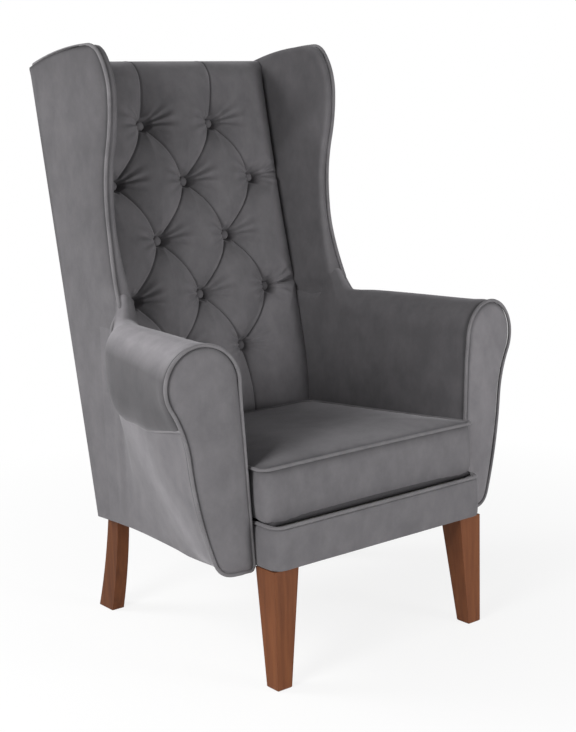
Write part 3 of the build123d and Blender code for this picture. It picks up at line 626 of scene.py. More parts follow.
CUSHION_FRONT = 258.0
CUSHION_REAR = 218.0
CUSHION_LENGTH = 456.0
CUSHION_MIDDLE = CUSHION_LENGTH / 2
CUSHION_CORNER = 17.0
CUSHION_DRAW = 3.0
CUSHION_SEAM = 91.5
CUSHION_CROWN = 17.0
CUSHION_SLUMP = 11.0
SLUMP_DEPTH = (8.0, 38.0)
SLUMP_CORNER = (205.0, 250.0)
SLUMP_HEIGHT = 48.0
BASE_INSET = 9.0
BASE_SHARES = (0.02, 0.4, 0.8, 0.97)
BASE_RIM = 0.9
BOX_INSET = 7.6
BOX_SWELL = 3.4
BOX_LEVELS = (0.8, 2.5, 6.0, 12.0, 22.0, 34.0, 46.0, 58.0, 70.0, 79.0, 85.0, 88.5)
TOP_INSET = 7.2
TOP_SHARES = (1.0, 0.985, 0.965, 0.94, 0.91, 0.87, 0.82, 0.75, 0.66, 0.56, 0.45, 0.34, 0.22, 0.1, 0.01)
# Painted shade on the rows below and above the seam
SEAM_PAINTED_SHADE = ((-3, -0.1), (-2, -0.25), (-1, -0.45), (0, -0.45), (1, -0.3), (2, -0.15), (3, -0.05))


def cushion_plan(inset, count=260):
    """Closed plan with round corners and sides drawn in between them."""
    front, rear = CUSHION_FRONT - inset, CUSHION_REAR - inset
    near, far, r = inset, CUSHION_LENGTH - inset, CUSHION_CORNER
    lean = (front - rear) / (far - near)
    half = []
    for t in steps(0, 1, 30):
        half.append(((front - r) * t, near + CUSHION_DRAW * (1 - t * t)))
    for a in steps(0, pi / 2, 12)[1:]:
        x = front - r + r * sin(a) - lean * r * (1 - cos(a))
        half.append((x, near + r - r * cos(a)))
    for t in steps(0, 1, 30)[1:]:
        along = r + (far - near - 2 * r) * t
        x = front + (rear - front) * along / (far - near) - 4 * CUSHION_DRAW * t * (1 - t)
        half.append((x, near + along))
    for a in steps(0, pi / 2, 12)[1:]:
        half.append((rear - r + r * cos(a) + lean * r * (1 - sin(a)), far - r + r * sin(a)))
    for t in steps(0, 1, 30)[1:]:
        half.append(((rear - r) * (1 - t), far - CUSHION_DRAW * (1 - (1 - t) ** 2)))
    left = [(-x, y) for x, y in reversed(half[1:-1])]
    return evenly(half + left, count, closed=True)


def slump(x, y):
    """Sag of the cushion's front edge, less towards its corners."""
    corner = 1 - 0.65 * between(abs(x), *SLUMP_CORNER)
    return CUSHION_SLUMP * (1 - between(y, *SLUMP_DEPTH)) * corner


def cushion_ring(inset, share, z):
    """Ring of the cushion's cover, drawn in to a share of its plan."""
    x, y = np.transpose(cushion_plan(inset))
    return row_of(on_seat(x * share, CUSHION_MIDDLE + (y - CUSHION_MIDDLE) * share, z))


def cushion_base():
    x, y = np.transpose(cushion_plan(BASE_INSET))
    return [cushion_ring(BASE_INSET, share, 0.4 - (slump(x, y) if share > BASE_RIM else 0.0))
            for share in BASE_SHARES]


def cushion_boxing():
    """Upright boxing that swells between its seams."""
    rows = []
    for z in BOX_LEVELS:
        full = sin(pi * z / CUSHION_SEAM) ** 0.7
        inset = BOX_INSET + 1.6 * (1 - between(z, 0.0, 8.0)) - BOX_SWELL * full
        x, y = np.transpose(cushion_plan(inset))
        uneven = 0.8 * ripple(3.1 * x, 2.3 * y, 60.0, 2) + 0.5 * np.cos(1.9 * np.arange(len(x)))
        sag = slump(x, y) * (1 - between(z, 0.0, SLUMP_HEIGHT))
        rows.append(cushion_ring(inset, 1 - uneven * full / 250, z - sag))
    return rows


def cushion_top():
    """Crowned top, puckered along the seam."""
    rows = []
    x, y = np.transpose(cushion_plan(TOP_INSET))
    k = np.arange(len(x))
    for share in TOP_SHARES:
        uneven = ripple(x * share, CUSHION_MIDDLE + (y - CUSHION_MIDDLE) * share, 62.0, 1)
        pucker = 0.7 * np.cos(k * 0.83 + 1.5 * np.sin(k * 0.21)) * bell(1 - share, 0.06)
        swell = CUSHION_CROWN * (1 - share ** 3.6) + 1.5 * (1 - share ** 6) * uneven
        rows.append(cushion_ring(TOP_INSET, share, CUSHION_SEAM + 0.6 + swell + pucker * (1 - share ** 20)))
    return rows


def seat_cushion():
    """Boxed cushion, with painted shade along its seam."""
    below = cushion_base() + cushion_boxing()
    rows = below + cushion_top()
    tones = [0.0] * len(rows)
    for offset, tone in SEAM_PAINTED_SHADE:
        tones[len(below) + offset] = tone
    painted_shading = [[tone] * len(rows[0]) for tone in tones]
    return skin("seat_cushion_cover", rows, closed=True, caps=True, painted_shading=painted_shading)


dress(seat_cushion(), "velvet", "cushion", "seat_cushion", fill=0.85)
line = [on_seat(x, y, CUSHION_SEAM) for x, y in cushion_plan(WELT)]
piping = welt_tube("cushion_piping", line, closed=True, radius=CUSHION_WELT)
dress(piping, "velvet_piping", "cushion", "cushion_welt")


# Front border of the seat box with its welt, deck and underside

BORDER_HALF = 250.0
BORDER_CORNER = 22.0
BORDER_RETURN = 66.0
BORDER_TOP = LEG_HEIGHT + 73.0
# Border's cover from under the rail to the deck: inset, height
BORDER_PROFILE = (
    (9.5, 216.4), (4.0, 216.2), (1.2, 217.2), (0.2, 220.0), (-0.6, 232.0), (-1.1, 252.0), (-0.8, 272.0),
    (0.2, 283.0), (1.4, 287.6), (4.0, 289.6), (9.5, 289.8), (15.0, 289.4), (20.0, 288.2), (25.0, 286.2),
    (30.0, 284.6), (36.0, 284.0),
)
DECK_FRONT = 246.0
DECK_LENGTH = 484.0
DECK_PAD = 12.0
DECK_INSET = 7.0
DECK_SLACK = 0.8
DECK_ROUND = 3.0
DECK_SHARES = (0.96, 0.9, 0.8, 0.65, 0.5, 0.35, 0.2, 0.08, 0.01)
FELT_TOP = -DECK_PAD - 0.3
FELT_BOTTOM = FELT_TOP - 3.0
FELT_INSET = 10.0
FLAP_START = 46.0
FLAP_DROP = 5.0
CLOTH = 0.0006
CLOTH_SAG = 0.004


def border_line(inset):
    half, front, r = BORDER_HALF - inset, FRONT + inset, max(2.0, BORDER_CORNER - inset)
    right = [(half, FRONT + BORDER_RETURN), (half, front + r)]
    for a in steps(0, pi / 2, 10)[1:]:
        right.append((half - r + r * cos(a), front + r - r * sin(a)))
    return evenly(right + [(-x, y) for x, y in reversed(right)], 160)


def front_border():
    rows = []
    for inset, z in BORDER_PROFILE:
        rows.append([metres(x, y, z + 0.25 * ripple(x, z, 30.0, 3)) for x, y in border_line(inset)])
    return skin("border_cover", rows)


def deck_layer(name, z0, z1, inset, quilted):
    """Tapered layer of the deck with rounded edges and quilted slack."""
    front, rear = DECK_FRONT - inset, CUSHION_REAR - inset
    rim = min(2.5, (z1 - z0) / 2)
    middle = (inset + DECK_LENGTH) / 2

    def ring(shrink, z, share=1.0):
        run = DECK_LENGTH - inset - 2 * shrink
        points = [(front * t, inset + shrink) for t in steps(-1, 1, 40)]
        points += [(front + (rear - front) * t - shrink, inset + shrink + run * t)
                   for t in steps(0, 1, 40)[1:]]
        points += [(rear * t, DECK_LENGTH - shrink) for t in steps(1, -1, 40)[1:]]
        points += [(-rear - (front - rear) * t + shrink, DECK_LENGTH - shrink - run * t)
                   for t in steps(0, 1, 40)[1:-1]]
        x, y = np.transpose(points) * share
        y += middle * (1 - share)
        return row_of(on_seat(x, y, z + quilted * (1 - share ** 4) * ripple(x, y, 45.0, 4)))

    rows = [ring(DECK_ROUND, z0, 0.02), ring(DECK_ROUND, z0), ring(rim / 3, z0 + rim / 3)]
    rows += [ring(0.0, (z0 + z1) / 2), ring(rim / 3, z1 - rim / 3), ring(DECK_ROUND, z1)]
    rows += [ring(DECK_ROUND, z1 - quilted, share) for share in DECK_SHARES]
    return skin(name, rows, closed=True, caps=True)


def dust_cover():
    """Thin cloth under the seat box, sagging slightly."""
    low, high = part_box("dust_cover")
    half, front, rear = high[0], low[1], high[1]
    t = np.array(steps(-1, 1, 44))
    rows = []
    for s in steps(0, 1, 36):
        sag = CLOTH_SAG * (1 - t * t) * 4 * s * (1 - s)
        pull = 0.0004 * np.cos(26 * t) * exp(-6 * min(s, 1 - s)) * (1 - abs(t))
        rows.append(row_of((half * t, front + (rear - front) * s, low[2] + CLOTH - sag + pull)))
    piece = skin("dust_cloth_sheet", rows)
    thick = piece.modifiers.new("cloth", "SOLIDIFY")
    thick.thickness = CLOTH
    return piece


def tuck_flap(side):
    """Cloth pulled down between the deck and the inside arm."""
    rows = []
    s = np.array(steps(0, 1, 8))
    for y in steps(FLAP_START, DECK_LENGTH, 30):
        deck_edge = DECK_FRONT + (CUSHION_REAR - DECK_FRONT) * y / DECK_LENGTH - 10.0
        wall = arm_x(y + SEAT_ORIGIN[1]) - 8.0
        x = side * (deck_edge + (wall - deck_edge) * s)
        rows.append(row_of(on_seat(x, y, -FLAP_DROP * (1 + np.sin(pi * s)))))
    return skin(f"tuck_flap_{hand_of(side)}", rows)


dress(front_border(), "velvet", "chair", "front_border", fill=0.9)
line = [metres(x, y, BORDER_TOP + 3.8) for x, y in border_line(WELT)]
dress(welt_tube("border_piping", line, radius=BORDER_WELT), "velvet_piping", "chair", "border_welt")
deck = deck_layer("deck_cover", -DECK_PAD, 0.0, DECK_INSET, DECK_SLACK)
dress(deck, "deck_cloth", "chair", "seat_deck_pad", fill=0.6)
felt = deck_layer("felt_insulator", FELT_BOTTOM, FELT_TOP, FELT_INSET, 0.0)
dress(felt, "felt", "chair", "spring_insulator", fill=0.5)
dress(dust_cover(), "dust_cloth", "chair", "dust_cover")
for side in SIDES:
    dress(tuck_flap(side), "deck_cloth", "chair")


# Arms: scroll facings, roll with inside arm, outside arm, welts

ROLL_TURN = radians(30.0)
NECK_U = 100.0
NECK_Z = 420.0
FOOT_U = 50.0
ARM_LEAN = 17.0
INSIDE_FOOT = 262.0
FOOT_ROUND = 27.0
SKIRT_DROP = 6.0
SKIRT_HEIGHT = 120.0
FRONT_SEAM = (111.0, 474.0)
SEWN_DEPTH = 6.8
SPINE_FOOT = ARM_BOTTOM + 32.0
SPINE_TURN = 430.0
# Facing from its welt to its spine: share of the way, depth, painted shade, share of the side's painted
# light
FACING_PROFILE = (
    (-0.004, 12.0, -0.55, 0.0), (0.0, 7.5, -0.55, 0.0), (0.04, 5.2, -0.45, 0.0), (0.08, 3.4, -0.2, 0.0),
    (0.13, 1.8, -0.05, 0.5), (0.2, 0.2, 0.0, 1.0), (0.32, -1.4, 0.0, 1.0), (0.5, -2.6, 0.0, 1.0),
    (0.75, -3.3, 0.0, 1.0), (1.0, -3.5, 0.0, 1.0),
)
# Painted light on the right facing, none on the left
FACING_PAINTED_LIGHT = {1: 0.28, -1: 0.0}
# Stations along the arm: depth, roll radius, top, neck, foot, height of the seam under the roll
ARM_STATIONS = (
    (-168.0, 62.0, 614.0, 367.0, 297.0, 455.0),
    (-114.0, 59.0, 614.0, 356.0, 291.0, 453.0),
    (0.0, 51.0, 614.0, 332.0, 282.0, 461.0),
    (40.0, 34.5, 614.0, 306.0, 280.5, 512.0),
    (53.0, 28.5, 618.5, 296.0, 280.2, 536.0),
    (60.0, 24.5, 633.0, 290.5, 280.0, 550.0),
    (66.0, 20.5, 652.0, 286.0, 280.0, 563.0),
    (86.0, 17.0, 660.0, 279.0, 280.0, 590.0),
)
# Inside arm behind the wing: depth, outside, setback from the outside back
HIDDEN_STATIONS = ((104.0, 270.0, 112.0), (250.0, 266.0, 66.0))
HIDDEN_TOP = 610.0
HIDDEN_UNDER = 585.0
# Outside arm in the flat side: depth, fullness, upper edge
SIDE_STATIONS = ((86.0, 3.4, 585.0), (108.0, 1.0, 592.0), (136.0, 0.2, 592.0))
ARM_START = -296.0
NECK_STEPS = 16
# First point of the facing's outline past the top of the roll
PAST_ROLL_TOP = 70
# Inside arm and roll: number of a section's point, painted light and shade (painted highlight on the roll's
# top, painted shade on its inside and under it)
ROLL_PAINTED_SHADING = (
    (0, -0.3), (26, -0.3), (38, -0.12), (45, 0.8), (50, 0.66), (58, -0.42), (66, -0.58), (76, -0.44),
)


def facing_outline():
    """Scroll outline from the inner foot over the roll to the outer foot."""
    r, c = ROLL_RADIUS, ROLL_CENTRE
    points = [(-ARM_LEAN + ARM_LEAN * t, ARM_BOTTOM + (c - ARM_BOTTOM) * t) for t in steps(0, 1, 40)]
    for a in steps(pi, -ROLL_TURN, 60)[1:]:
        points.append((r + r * cos(a), c + r * sin(a)))
    heading = (-sin(ROLL_TURN), -cos(ROLL_TURN))
    neck, heading = arc_on(points[-1], heading, (NECK_U, NECK_Z), 20)
    flank, heading = arc_on(neck[-1], heading, (FOOT_U, ARM_BOTTOM), 30)
    return points + neck[1:] + flank[1:]


def facing_loop():
    """The outline closed across its foot, with its outer corner rounded."""
    line = facing_outline()
    inner, outer = line[0], line[-1]
    loop = [p for p in line[1:-1] if p[1] > ARM_BOTTOM + FOOT_ROUND or p[0] < 20.0]
    start, corner, end = loop[-1], (outer[0] + 1.0, ARM_BOTTOM), (outer[0] - FOOT_ROUND, ARM_BOTTOM)
    for t in steps(0, 1, 10)[1:]:
        a, b, c = (1 - t) ** 2, 2 * t * (1 - t), t * t
        loop.append(tuple(a * start[i] + b * corner[i] + c * end[i] for i in (0, 1)))
    loop += [(end[0] + (inner[0] + 5.0 - end[0]) * t, ARM_BOTTOM) for t in steps(0, 1, 12)[1:]]
    return loop


def facing(side):
    """Padded scroll facing, tucked behind its welt and domed inside it."""
    u, z = np.transpose(evenly(facing_loop(), 190, closed=True))
    # Middle of the padding beside each point of the outline
    level = np.clip(z, SPINE_FOOT, ROLL_CENTRE)
    rise = (level - ARM_BOTTOM) / (ROLL_CENTRE - ARM_BOTTOM)
    spine = 18.0 + 34.0 * rise + 17.0 * between(level, SPINE_TURN, ROLL_CENTRE)
    rows, painted_shading = [], []
    for share, depth, tone, lit_share in FACING_PROFILE:
        pu, pz = u + (spine - u) * share, z + (level - z) * share
        row = on_facing(pu, pz, depth + 0.5 * share * ripple(pu, pz, 40.0, 5))
        rows.append(flip(row_of(row), side))
        # Painted shade beside the welt, and painted light on the right facing
        painted_shading.append([tone + lit_share * FACING_PAINTED_LIGHT[side]] * len(u))
    return skin(f"facing_cover_{hand_of(side)}", rows, closed=True, painted_shading=painted_shading)


def facing_piping(side):
    u, z = np.transpose(evenly(facing_loop(), 240, closed=True))
    line = row_of(on_facing(u, z, 2.5 + 2.5 * between(u, 12.0, -2.0) * between(z, 560.0, 500.0)))
    return welt_tube(f"facing_piping_{hand_of(side)}", flip(line, side), closed=True, radius=FACING_WELT)


def roll_profile(inside, radius, top, neck, under):
    """Section from the inside arm's foot over the roll to the neck, as x and z."""
    centre = top - radius
    foot_drop = ARM_LEAN * (centre - INSIDE_FOOT) / (centre - ARM_BOTTOM)
    points = []
    for t in steps(0, 1, 24):
        points.append((inside - foot_drop * (1 - t), INSIDE_FOOT + (centre - INSIDE_FOOT) * t))
    for a in steps(pi, 0.0, 36)[1:]:
        points.append((inside + radius + radius * cos(a), centre + radius * sin(a)))
    end_x, end_z = points[-1]
    for t in steps(0, 1, NECK_STEPS)[1:]:
        fall = sin(pi * t / 2) ** 0.9
        points.append((end_x + (neck - end_x) * t ** 2.1, end_z + (under - end_z) * fall))
    return points


def arm_sections():
    """Sections of the inside arm and roll by depth."""
    front = roll_profile(0.0, ROLL_RADIUS, ARM_TOP, *FRONT_SEAM)
    spans, heights = zip(*reversed(facing_outline()[PAST_ROLL_TOP:]))
    for i in range(len(front) - NECK_STEPS, len(front)):
        front[i] = (np.interp(front[i][1], heights, spans), front[i][1])
    sections = [(ARM_START, [on_facing(u, z, SEWN_DEPTH) for u, z in front])]
    for y, radius, top, neck, foot, under in ARM_STATIONS:
        profile = roll_profile(arm_x(y), radius, top, neck, under)
        sections.append((y, [metres(x, y, z) for x, z in profile]))
    for y, outer, setback in HIDDEN_STATIONS:
        profile = roll_profile(arm_x(y), (outer - arm_x(y)) / 2, HIDDEN_TOP, outer, HIDDEN_UNDER)
        sections.append((y, [metres(x, min(y, back_y(z, setback)), z) for x, z in profile]))
    return sections


def along_arm(sections, count):
    """Rows of points along the arm, smooth through the sections."""
    lines = [(y, np.array(line)) for y, line in sections]
    return [through(lines, y) for y in steps(lines[0][0], lines[-1][0], count)]


def tucked(rows, tuck, uneven, seed):
    """Rows moved along their normal: drawn in at the facing, full just behind it, then uneven."""
    grid = np.array(rows)
    x, y, z = np.moveaxis(grid, 2, 0) / MM
    behind = y - ARM_FRONT - (x - ARM_INSIDE) * tan(FACING_TURN) - 6.0
    amount = -tuck * bell(behind, 5.0) + 1.2 * bell(behind - 20.0, 14.0)
    amount += uneven * ripple(y, z, 52.0, seed) * between(behind, 0.0, 40.0)
    normal = np.cross(np.gradient(grid, axis=1), np.gradient(grid, axis=0))
    normal /= np.linalg.norm(normal, axis=2, keepdims=True) + 1e-12
    return grid + normal * amount[:, :, None] * MM


def sewn_shade(row):
    """Darkening of the first rows behind the facing's welt."""
    return 0.45 * bell(row, 1.3)


def inside_arm(side):
    rows = tucked(along_arm(arm_sections(), 110), 2.4, 1.3, 6)
    # Painted highlight on the roll's top, painted shade on its inside, under it and behind the facing's welt
    painted_tone = np.interp(range(len(rows[0])), *zip(*ROLL_PAINTED_SHADING))
    painted_shading = painted_tone - sewn_shade(np.arange(len(rows)))[:, None]
    return skin(f"arm_roll_cover_{hand_of(side)}", rows * (side, 1, 1), painted_shading=painted_shading)


def neck_line(inset):
    """Seam line under the roll, from the facing to the wing."""
    sections = [(ARM_START, [on_facing(FRONT_SEAM[0] - inset, FRONT_SEAM[1], SEWN_DEPTH)])]
    for y, radius, top, neck, foot, under in ARM_STATIONS:
        sections.append((y, [metres(neck - inset, y, under)]))
    return [row[0] for row in along_arm(sections, 60)]


def skirt_drop(y, z):
    """Drop of the side's lower edge towards the rear."""
    return SKIRT_DROP * np.maximum(0.0, 1 - (z - ARM_BOTTOM) / SKIRT_HEIGHT) * between(y, 40.0, 240.0)


def outside_arm_sections(levels):
    """Sections of the outside arm from its foot to the seam under the roll."""
    flank = [p for p in facing_loop() if p[0] > FOOT_U - FOOT_ROUND - 1.0 and p[1] < FRONT_SEAM[1]]
    front = evenly(flank[::-1] + [FRONT_SEAM], len(levels))
    sections = [(ARM_START, [on_facing(u - 1.0, z + 0.5, SEWN_DEPTH) for u, z in front])]
    for y, radius, top, neck, foot, under in ARM_STATIONS[:-1]:
        hollow = between(y, -300.0, 60.0)
        share = levels ** 1.35 * hollow + np.sin(pi * levels / 2) * (1 - hollow)
        z = ARM_BOTTOM + (under - ARM_BOTTOM) * levels
        sections.append((y, row_of(metres(foot + (neck - foot) * share, y, z))))
    for y, full, under in SIDE_STATIONS:
        x = SIDE + 0.6 + full * np.sin(pi * levels) ** 0.8
        sections.append((y, row_of(metres(x, y, ARM_BOTTOM + (under - ARM_BOTTOM) * levels))))
    return sections


def outside_arm(side):
    """Outside arm, merged into the flat side, with a painted highlight running diagonally across it."""
    levels = np.array(steps(0.0, 1.0, 34))
    rows = tucked(along_arm(outside_arm_sections(levels), 90), -2.4, -0.8, 8)
    x, y, z = np.moveaxis(rows, 2, 0) / MM
    merge = between(y, 70.0, 110.0)
    plane = SIDE + 0.5 * ripple(y, z, 60.0, 9) + 0.2
    rows = np.stack(metres(side * (x * (1 - merge) + plane * merge), y, z - skirt_drop(y, z)), axis=2)
    # Painted highlight on a diagonal, painted shade towards the rear and behind the facing's welt
    painted_band = 0.26 * bell(y + 245.0 - 190.0 * levels, 55.0)
    painted_shading = painted_band - 0.06 * between(y, -60.0, 60.0) - sewn_shade(np.arange(len(rows)))[:, None]
    return skin(f"outside_arm_cover_{hand_of(side)}", rows, painted_shading=painted_shading)


for side in SIDES:
    hand = hand_of(side)
    dress(facing(side), "velvet", "chair", f"arm_facing_{hand}", fill=0.8)
    dress(facing_piping(side), "velvet_piping", "chair", f"facing_welt_{hand}")
    dress(inside_arm(side), "velvet", "chair", f"inside_arm_pad_{hand}", f"arm_roll_{hand}", fill=0.8)
    dress(outside_arm(side), "velvet", "chair", f"outside_arm_panel_{hand}", fill=0.9)
    seam = flip(neck_line(1.0), side)[:-3]
    dress(welt_tube(f"roll_piping_{hand}", seam), "velvet_piping", "chair")


# Wings, outside panels and outside back; places on the wing's outline are depth and height

WING_PEAK = (141.0, 1116.5)
WING_WAIST = (106.0, 834.0)
WING_FOOT = (65.0, 640.0)
WING_TAIL = [(60.0, 614.0), (59.0, 594.0), (58.5, 575.0)]
WING_BENDS = ((45.0, 50.0), (122.0, 40.0))
WING_REAR_TOP = 1068.0
WING_REAR_FOOT = 598.0
WING_FLARE = 10.0
WELT_TRAIL = 22.0
PANEL_TOP = 1075.0
PANEL_CROWN = 41.0
CORNER_ROUND = 9.0
TOP_CORNER_ROUND = 4.0
BACK_HALF = 272.0
BACK_ROUND = 6.0
RIM_OUTSIDE = 271.0
RIM_INSIDE = 249.5
# Wing's rim: distance in from its edge, share of the way from inside to outside
RIM = (
    (2.0, 1.0), (0.9, 0.86), (-0.2, 0.66), (-0.8, 0.45), (0.2, 0.22), (2.6, 0.07), (6.5, 0.0), (14.0, -0.05),
)


def panel_x(y, z):
    """Outside face of the wing, drawn in towards its front edge."""
    forward = 1 - np.clip((y - 80.0) / 260.0, 0.0, 1.0)
    return SIDE - (SIDE - RIM_OUTSIDE) * forward * between(z, 620.0, 780.0)


def rim_x(z):
    """Inside edge of the wing's front rim."""
    return RIM_INSIDE - 6.5 * (1 - between(z, 620.0, 790.0))


def wing_front():
    """Wing outline from the peak down its front edge to the arm."""
    points = []
    y, z, heading = *WING_PEAK, pi
    for radius, turn in WING_BENDS:
        cx, cz = y - radius * sin(heading), z + radius * cos(heading)
        for a in steps(heading, heading + radians(turn), 16):
            points.append((cx + radius * sin(a), cz - radius * cos(a)))
        heading += radians(turn)
        y, z = points[-1]
    middle = ((y + WING_WAIST[0]) / 2, (z + WING_WAIST[1]) / 2)
    recede, way = arc_on((y, z), (0.0, -1.0), middle, 14)
    settle, way = arc_on(middle, way, WING_WAIST, 14)
    flare, way = arc_on(WING_WAIST, way, WING_FOOT, 16)
    return points + recede[1:] + settle[1:] + flare[1:] + WING_TAIL


def wing_top():
    """Wing outline from the rear top corner to the peak."""
    points, way = arc_on(WING_PEAK, (1.0, 0.0), (REAR, BACK_TOP), 24)
    return list(reversed(points))


WING_LINE = evenly(wing_top() + wing_front()[1:], 170)


def trail(z):
    """How far the wing's welt runs back as it nears the arm."""
    return WELT_TRAIL * between(z, 642.0, 592.0)


def wing_inner(y, z, flare):
    """Inside edge of the wing's rim, run on to the arm's inside face at its foot."""
    front = between(y, 200.0, 100.0)
    low = 1 - between(z, 602.0, 638.0)
    inner = rim_x(z) * front + 240.0 * (1 - front)
    return inner * (1 - low) + (arm_x(y - flare) + 7.0) * low


def wing_row(y, z, t):
    """Points of the wing's pad from its welt to the back, t of the way down its edge."""
    rear_z = WING_REAR_TOP - (WING_REAR_TOP - WING_REAR_FOOT) * t ** 1.15
    rear_y = back_y(rear_z, 52.0)
    reach = hypot(rear_y - y, rear_z - z)
    scale = min(1.0, reach / 60.0)
    dy, dz = (rear_y - y) / reach, (rear_z - z) / reach
    flare = WING_FLARE * (1 - between(z, 598.0, 632.0)) if y < 120.0 else 0.0
    outer, inner = panel_x(y, z) - 5.0, wing_inner(y, z, flare)
    d, share = np.transpose(RIM)
    py = y + dy * d * scale - flare * (1 - share) + trail(z) * np.maximum(0.0, share)
    rim = row_of((inner + (outer - inner) * share, py, z + dz * d * scale))
    start, first = d[-1] * scale, rim[-1][0]
    s = np.array(steps(0, 1, 26)[1:])
    d = start + (reach - start) * s
    py, pz = y + dy * d - flare * (1 - s) ** 2, z + dz * d
    full = np.sin(pi * s) ** 0.8 * scale
    swell = 2.5 * full + 0.9 * ripple(py, pz, 48.0, 7) * full
    sunk = 1 - between(pz, 600.0, 636.0)
    seat = first + (236.6 - first) * between(d, 0.0, 130.0)
    seat = seat * (1 - sunk) + (arm_x(py) + 6.0) * sunk
    return np.concatenate([rim, row_of((seat - swell * (1 - sunk), py, pz))])


def wing_pad(side):
    """Padded inside of the wing, flared on to the arm, with painted shade in from its rim and towards its
    top.
    """
    rows, painted_shading = [], []
    for i, (y, z) in enumerate(WING_LINE):
        row = wing_row(y, z, i / (len(WING_LINE) - 1))
        rows.append(row * (side * MM, MM, MM))
        # Painted shade, deeper in from the rim and towards the top
        painted_tone = [0.0] * 5 + [-0.1, -0.2] + [-0.28] * (len(row) - 7)
        painted_shading.append([tone - 0.2 * between(z, 960.0, 1050.0) for tone in painted_tone])
    return skin(f"wing_cover_{hand_of(side)}", rows, painted_shading=painted_shading)


def depth_at(line, z):
    depths, heights = zip(*line)
    return np.interp(z, heights, depths)


def wing_limits(z):
    """Front and rear y of the outside panel at height z."""
    if z <= ARM_TOP:
        front = 112.0 - 30.0 * between(z, 535.0, 580.0)
    else:
        front = depth_at(wing_front()[::-1], z) + trail(z)
    rear = depth_at(wing_top(), z) if z > BACK_TOP else back_y(z)
    return front, rear


def panel_row(z):
    """x and y of the outside panel at height z, from its front edge round the rear corner."""
    front, rear = wing_limits(z)
    edge = 2.0 if z > ARM_TOP + 10 else 0.0
    shrink = (CORNER_ROUND - TOP_CORNER_ROUND) * between(z, BACK_TOP - 20.0, BACK_TOP + 10.0)
    corner = min(CORNER_ROUND - shrink, (rear - front) / 2)
    s, a = np.array(steps(0, 1, 26)), np.array(steps(0, pi / 2, 9)[1:])
    y = front + edge + (rear - corner - front - edge) * s
    bulge = 2.0 * np.sin(pi * s) * between(z, ARM_TOP, ARM_TOP + 90.0)
    drawn = 2.5 * (1 - between(y, front, front + 9.0)) * between(z, ARM_TOP, ARM_TOP + 30.0)
    x = panel_x(y, z) + bulge - drawn + 0.5 * ripple(y, z, 60.0, 9)
    x = np.append(x, SIDE - corner + corner * np.cos(a))
    return x, np.append(y, rear - corner + corner * np.sin(a))


def panel_painted_shade(y, z):
    """Painted shade on the panel at depths y: darker upwards, and along the welt of the wing."""
    front = wing_limits(z)[0]
    top_y, top_z = zip(*reversed(wing_top()))
    gap = np.maximum(0.0, np.minimum(y - front, np.interp(y, top_y, top_z) - z))
    sewn = between(z, ARM_TOP + 20.0, ARM_TOP + 80.0)
    return -0.13 - 0.17 * between(z, 400.0, 1000.0) - sewn * (0.4 * bell(gap, 5.0) + 0.13 * bell(gap, 50.0))


def outside_wing(side):
    """Side panel from the chair's foot up to the wing's welt."""
    heights = steps(ARM_BOTTOM, PANEL_TOP, 120)
    heights += [PANEL_TOP + PANEL_CROWN * (1 - (1 - t) ** 2) for t in steps(0, 1, 18)[1:]]
    rows, painted_shading = [], []
    for z in heights:
        x, y = panel_row(z)
        rows.append(row_of(metres(side * x, y, z - skirt_drop(y, z))))
        # Painted shade, darker upwards and along the wing's welt
        painted_shading.append(panel_painted_shade(y, z))
    return skin(f"outside_wing_cover_{hand_of(side)}", rows, painted_shading=painted_shading)


def wing_piping(side):
    y, z = np.transpose(WING_LINE[4:])
    x = panel_x(y, z) - 2.6 + 11.0 * between(z, 645.0, 575.0)
    line = row_of(metres(side * x, y - 0.8 + trail(z), z + 0.3))
    return welt_tube(f"wing_piping_{hand_of(side)}", line, radius=WING_WELT)


def outside_back():
    """Outside back, pulled tight and turned over the top rail."""
    across = steps(-BACK_HALF, BACK_HALF, 80)
    shoulder = BACK_TOP - BACK_ROUND
    rows = []
    for z in steps(ARM_BOTTOM - SKIRT_DROP, shoulder, 90):
        pull = 1.6 * sin(pi * (z - ARM_BOTTOM) / (BACK_TOP - ARM_BOTTOM))
        rows.append([metres(x, back_y(z) - pull * (1 - (x / BACK_HALF) ** 2) - 0.6, z) for x in across])
    for a in steps(0, pi / 2, 8)[1:]:
        z = shoulder + BACK_ROUND * sin(a)
        rows.append([metres(x, back_y(z) - 0.6 - 14.0 * (1 - cos(a)), z) for x in across])
    return skin("outside_back_cover", rows)


for side in SIDES:
    hand = hand_of(side)
    dress(wing_pad(side), "velvet", "chair", f"wing_pad_{hand}", fill=0.8)
    dress(outside_wing(side), "velvet", "chair", f"outside_wing_panel_{hand}", fill=0.9)
    dress(wing_piping(side), "velvet_piping", "chair", f"wing_welt_{hand}")
dress(outside_back(), "velvet", "chair", "outside_back_panel", fill=0.9)


# Camera, floor and soft studio light, in metres and watts

FLOOR_HALF = 6.0
FLOOR_SHADE = (0.90, 0.90, 0.90, 1.0)
GLOW_DISTANCE = (0.45, 1.5)
GLOW_SHARE = (0.84, 1.0)
WORLD_LIGHT = 0.26
WORLD_SEEN = 1.0
# Lamps: name, place, target, diameter, power
LAMPS = (
    ("key", (-2.6, -0.9, 1.5), (0.0, 0.0, 0.5), 1.2, 62.0),
    ("front", (0.9, -2.5, 0.45), (0.1, 0.0, 0.35), 1.0, 36.0),
    ("rear", (-1.9, 1.6, 2.1), (-0.2, 0.0, 0.6), 1.2, 46.0),
)


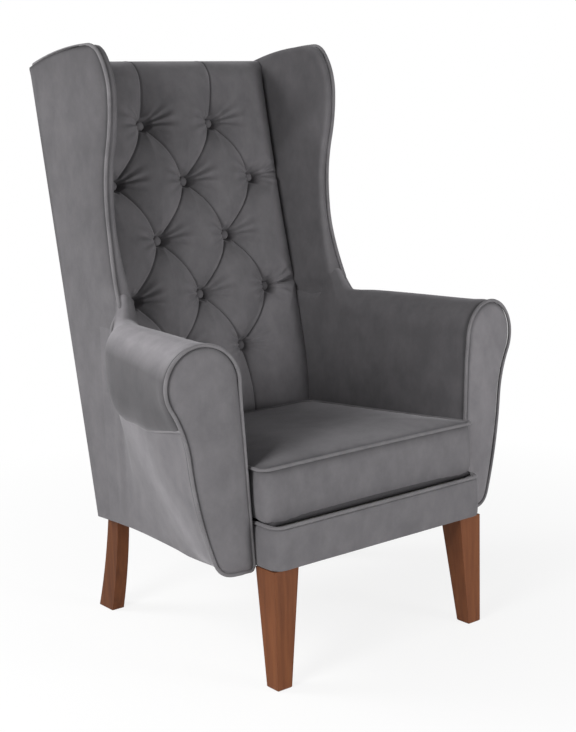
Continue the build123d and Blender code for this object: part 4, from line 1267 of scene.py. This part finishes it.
def add_camera():
    data = bpy.data.cameras.new("camera")
    data.lens = CAMERA_LENS
    data.sensor_width = FILM_WIDTH
    data.sensor_fit = "AUTO"
    data.shift_x, data.shift_y = CAMERA_SHIFT
    turn = Matrix.Translation(CAMERA_PLACE)
    for angle, axis in ((CAMERA_AZIMUTH, "Z"), (90.0 - CAMERA_PITCH, "X"), (CAMERA_ROLL, "Z")):
        turn = turn @ Matrix.Rotation(radians(angle), 4, axis)
    camera = add_object("camera", data)
    camera.matrix_world = turn
    bpy.context.scene.camera = camera


def add_area(name, place, target, size, power):
    data = bpy.data.lights.new(name, "AREA")
    data.shape = "DISK"
    data.size = size
    data.energy = power
    lamp = add_object(name, data)
    lamp.location = place
    lamp.rotation_euler = (Vector(target) - Vector(place)).to_track_quat("-Z", "Y").to_euler()


def seen_directly(tree):
    """1 for rays from the camera and for mirror-like bounces, else 0."""
    path = tree.nodes.new("ShaderNodeLightPath")
    return add_math(tree, "MAXIMUM", path.outputs["Is Camera Ray"], path.outputs["Is Glossy Ray"])


def add_floor():
    """Pale floor that takes the chair's shadow and fades to white away from it."""
    near, far = [[(x, y, 0.0) for x in (-FLOOR_HALF, FLOOR_HALF)] for y in (-FLOOR_HALF, FLOOR_HALF)]
    floor = skin("floor", [near, far])
    material, tree, shader, place = node_material("floor")
    set_inputs(shader, {"Base Color": FLOOR_SHADE, "Roughness": 0.9, "Specular IOR Level": 0.1})
    glow = tree.nodes.new("ShaderNodeEmission").outputs["Emission"]
    away = add_node(tree, "VectorMath", {0: place}, "LENGTH").outputs["Value"]
    fade = add_range(tree, away, GLOW_DISTANCE, GLOW_SHARE)
    share = add_math(tree, "MULTIPLY", seen_directly(tree), fade)
    mix = add_node(tree, "MixShader", {"Fac": share, 1: shader.outputs["BSDF"], 2: glow})
    set_inputs(tree.nodes["Material Output"], {"Surface": mix.outputs["Shader"]})
    paint(floor, material)


def add_world():
    """White surroundings, seen at full strength and lighting the chair at a lower one."""
    world = bpy.data.worlds.new("studio")
    world.use_nodes = True
    tree = world.node_tree
    strength = add_range(tree, seen_directly(tree), (0.0, 1.0), (WORLD_LIGHT, WORLD_SEEN))
    set_inputs(tree.nodes["Background"], {"Color": (1.0, 1.0, 1.0, 1.0), "Strength": strength})
    bpy.context.scene.world = world


add_camera()
add_floor()
add_world()
for lamp in LAMPS:
    add_area(*lamp)
bpy.context.scene.view_settings.view_transform = "Standard"
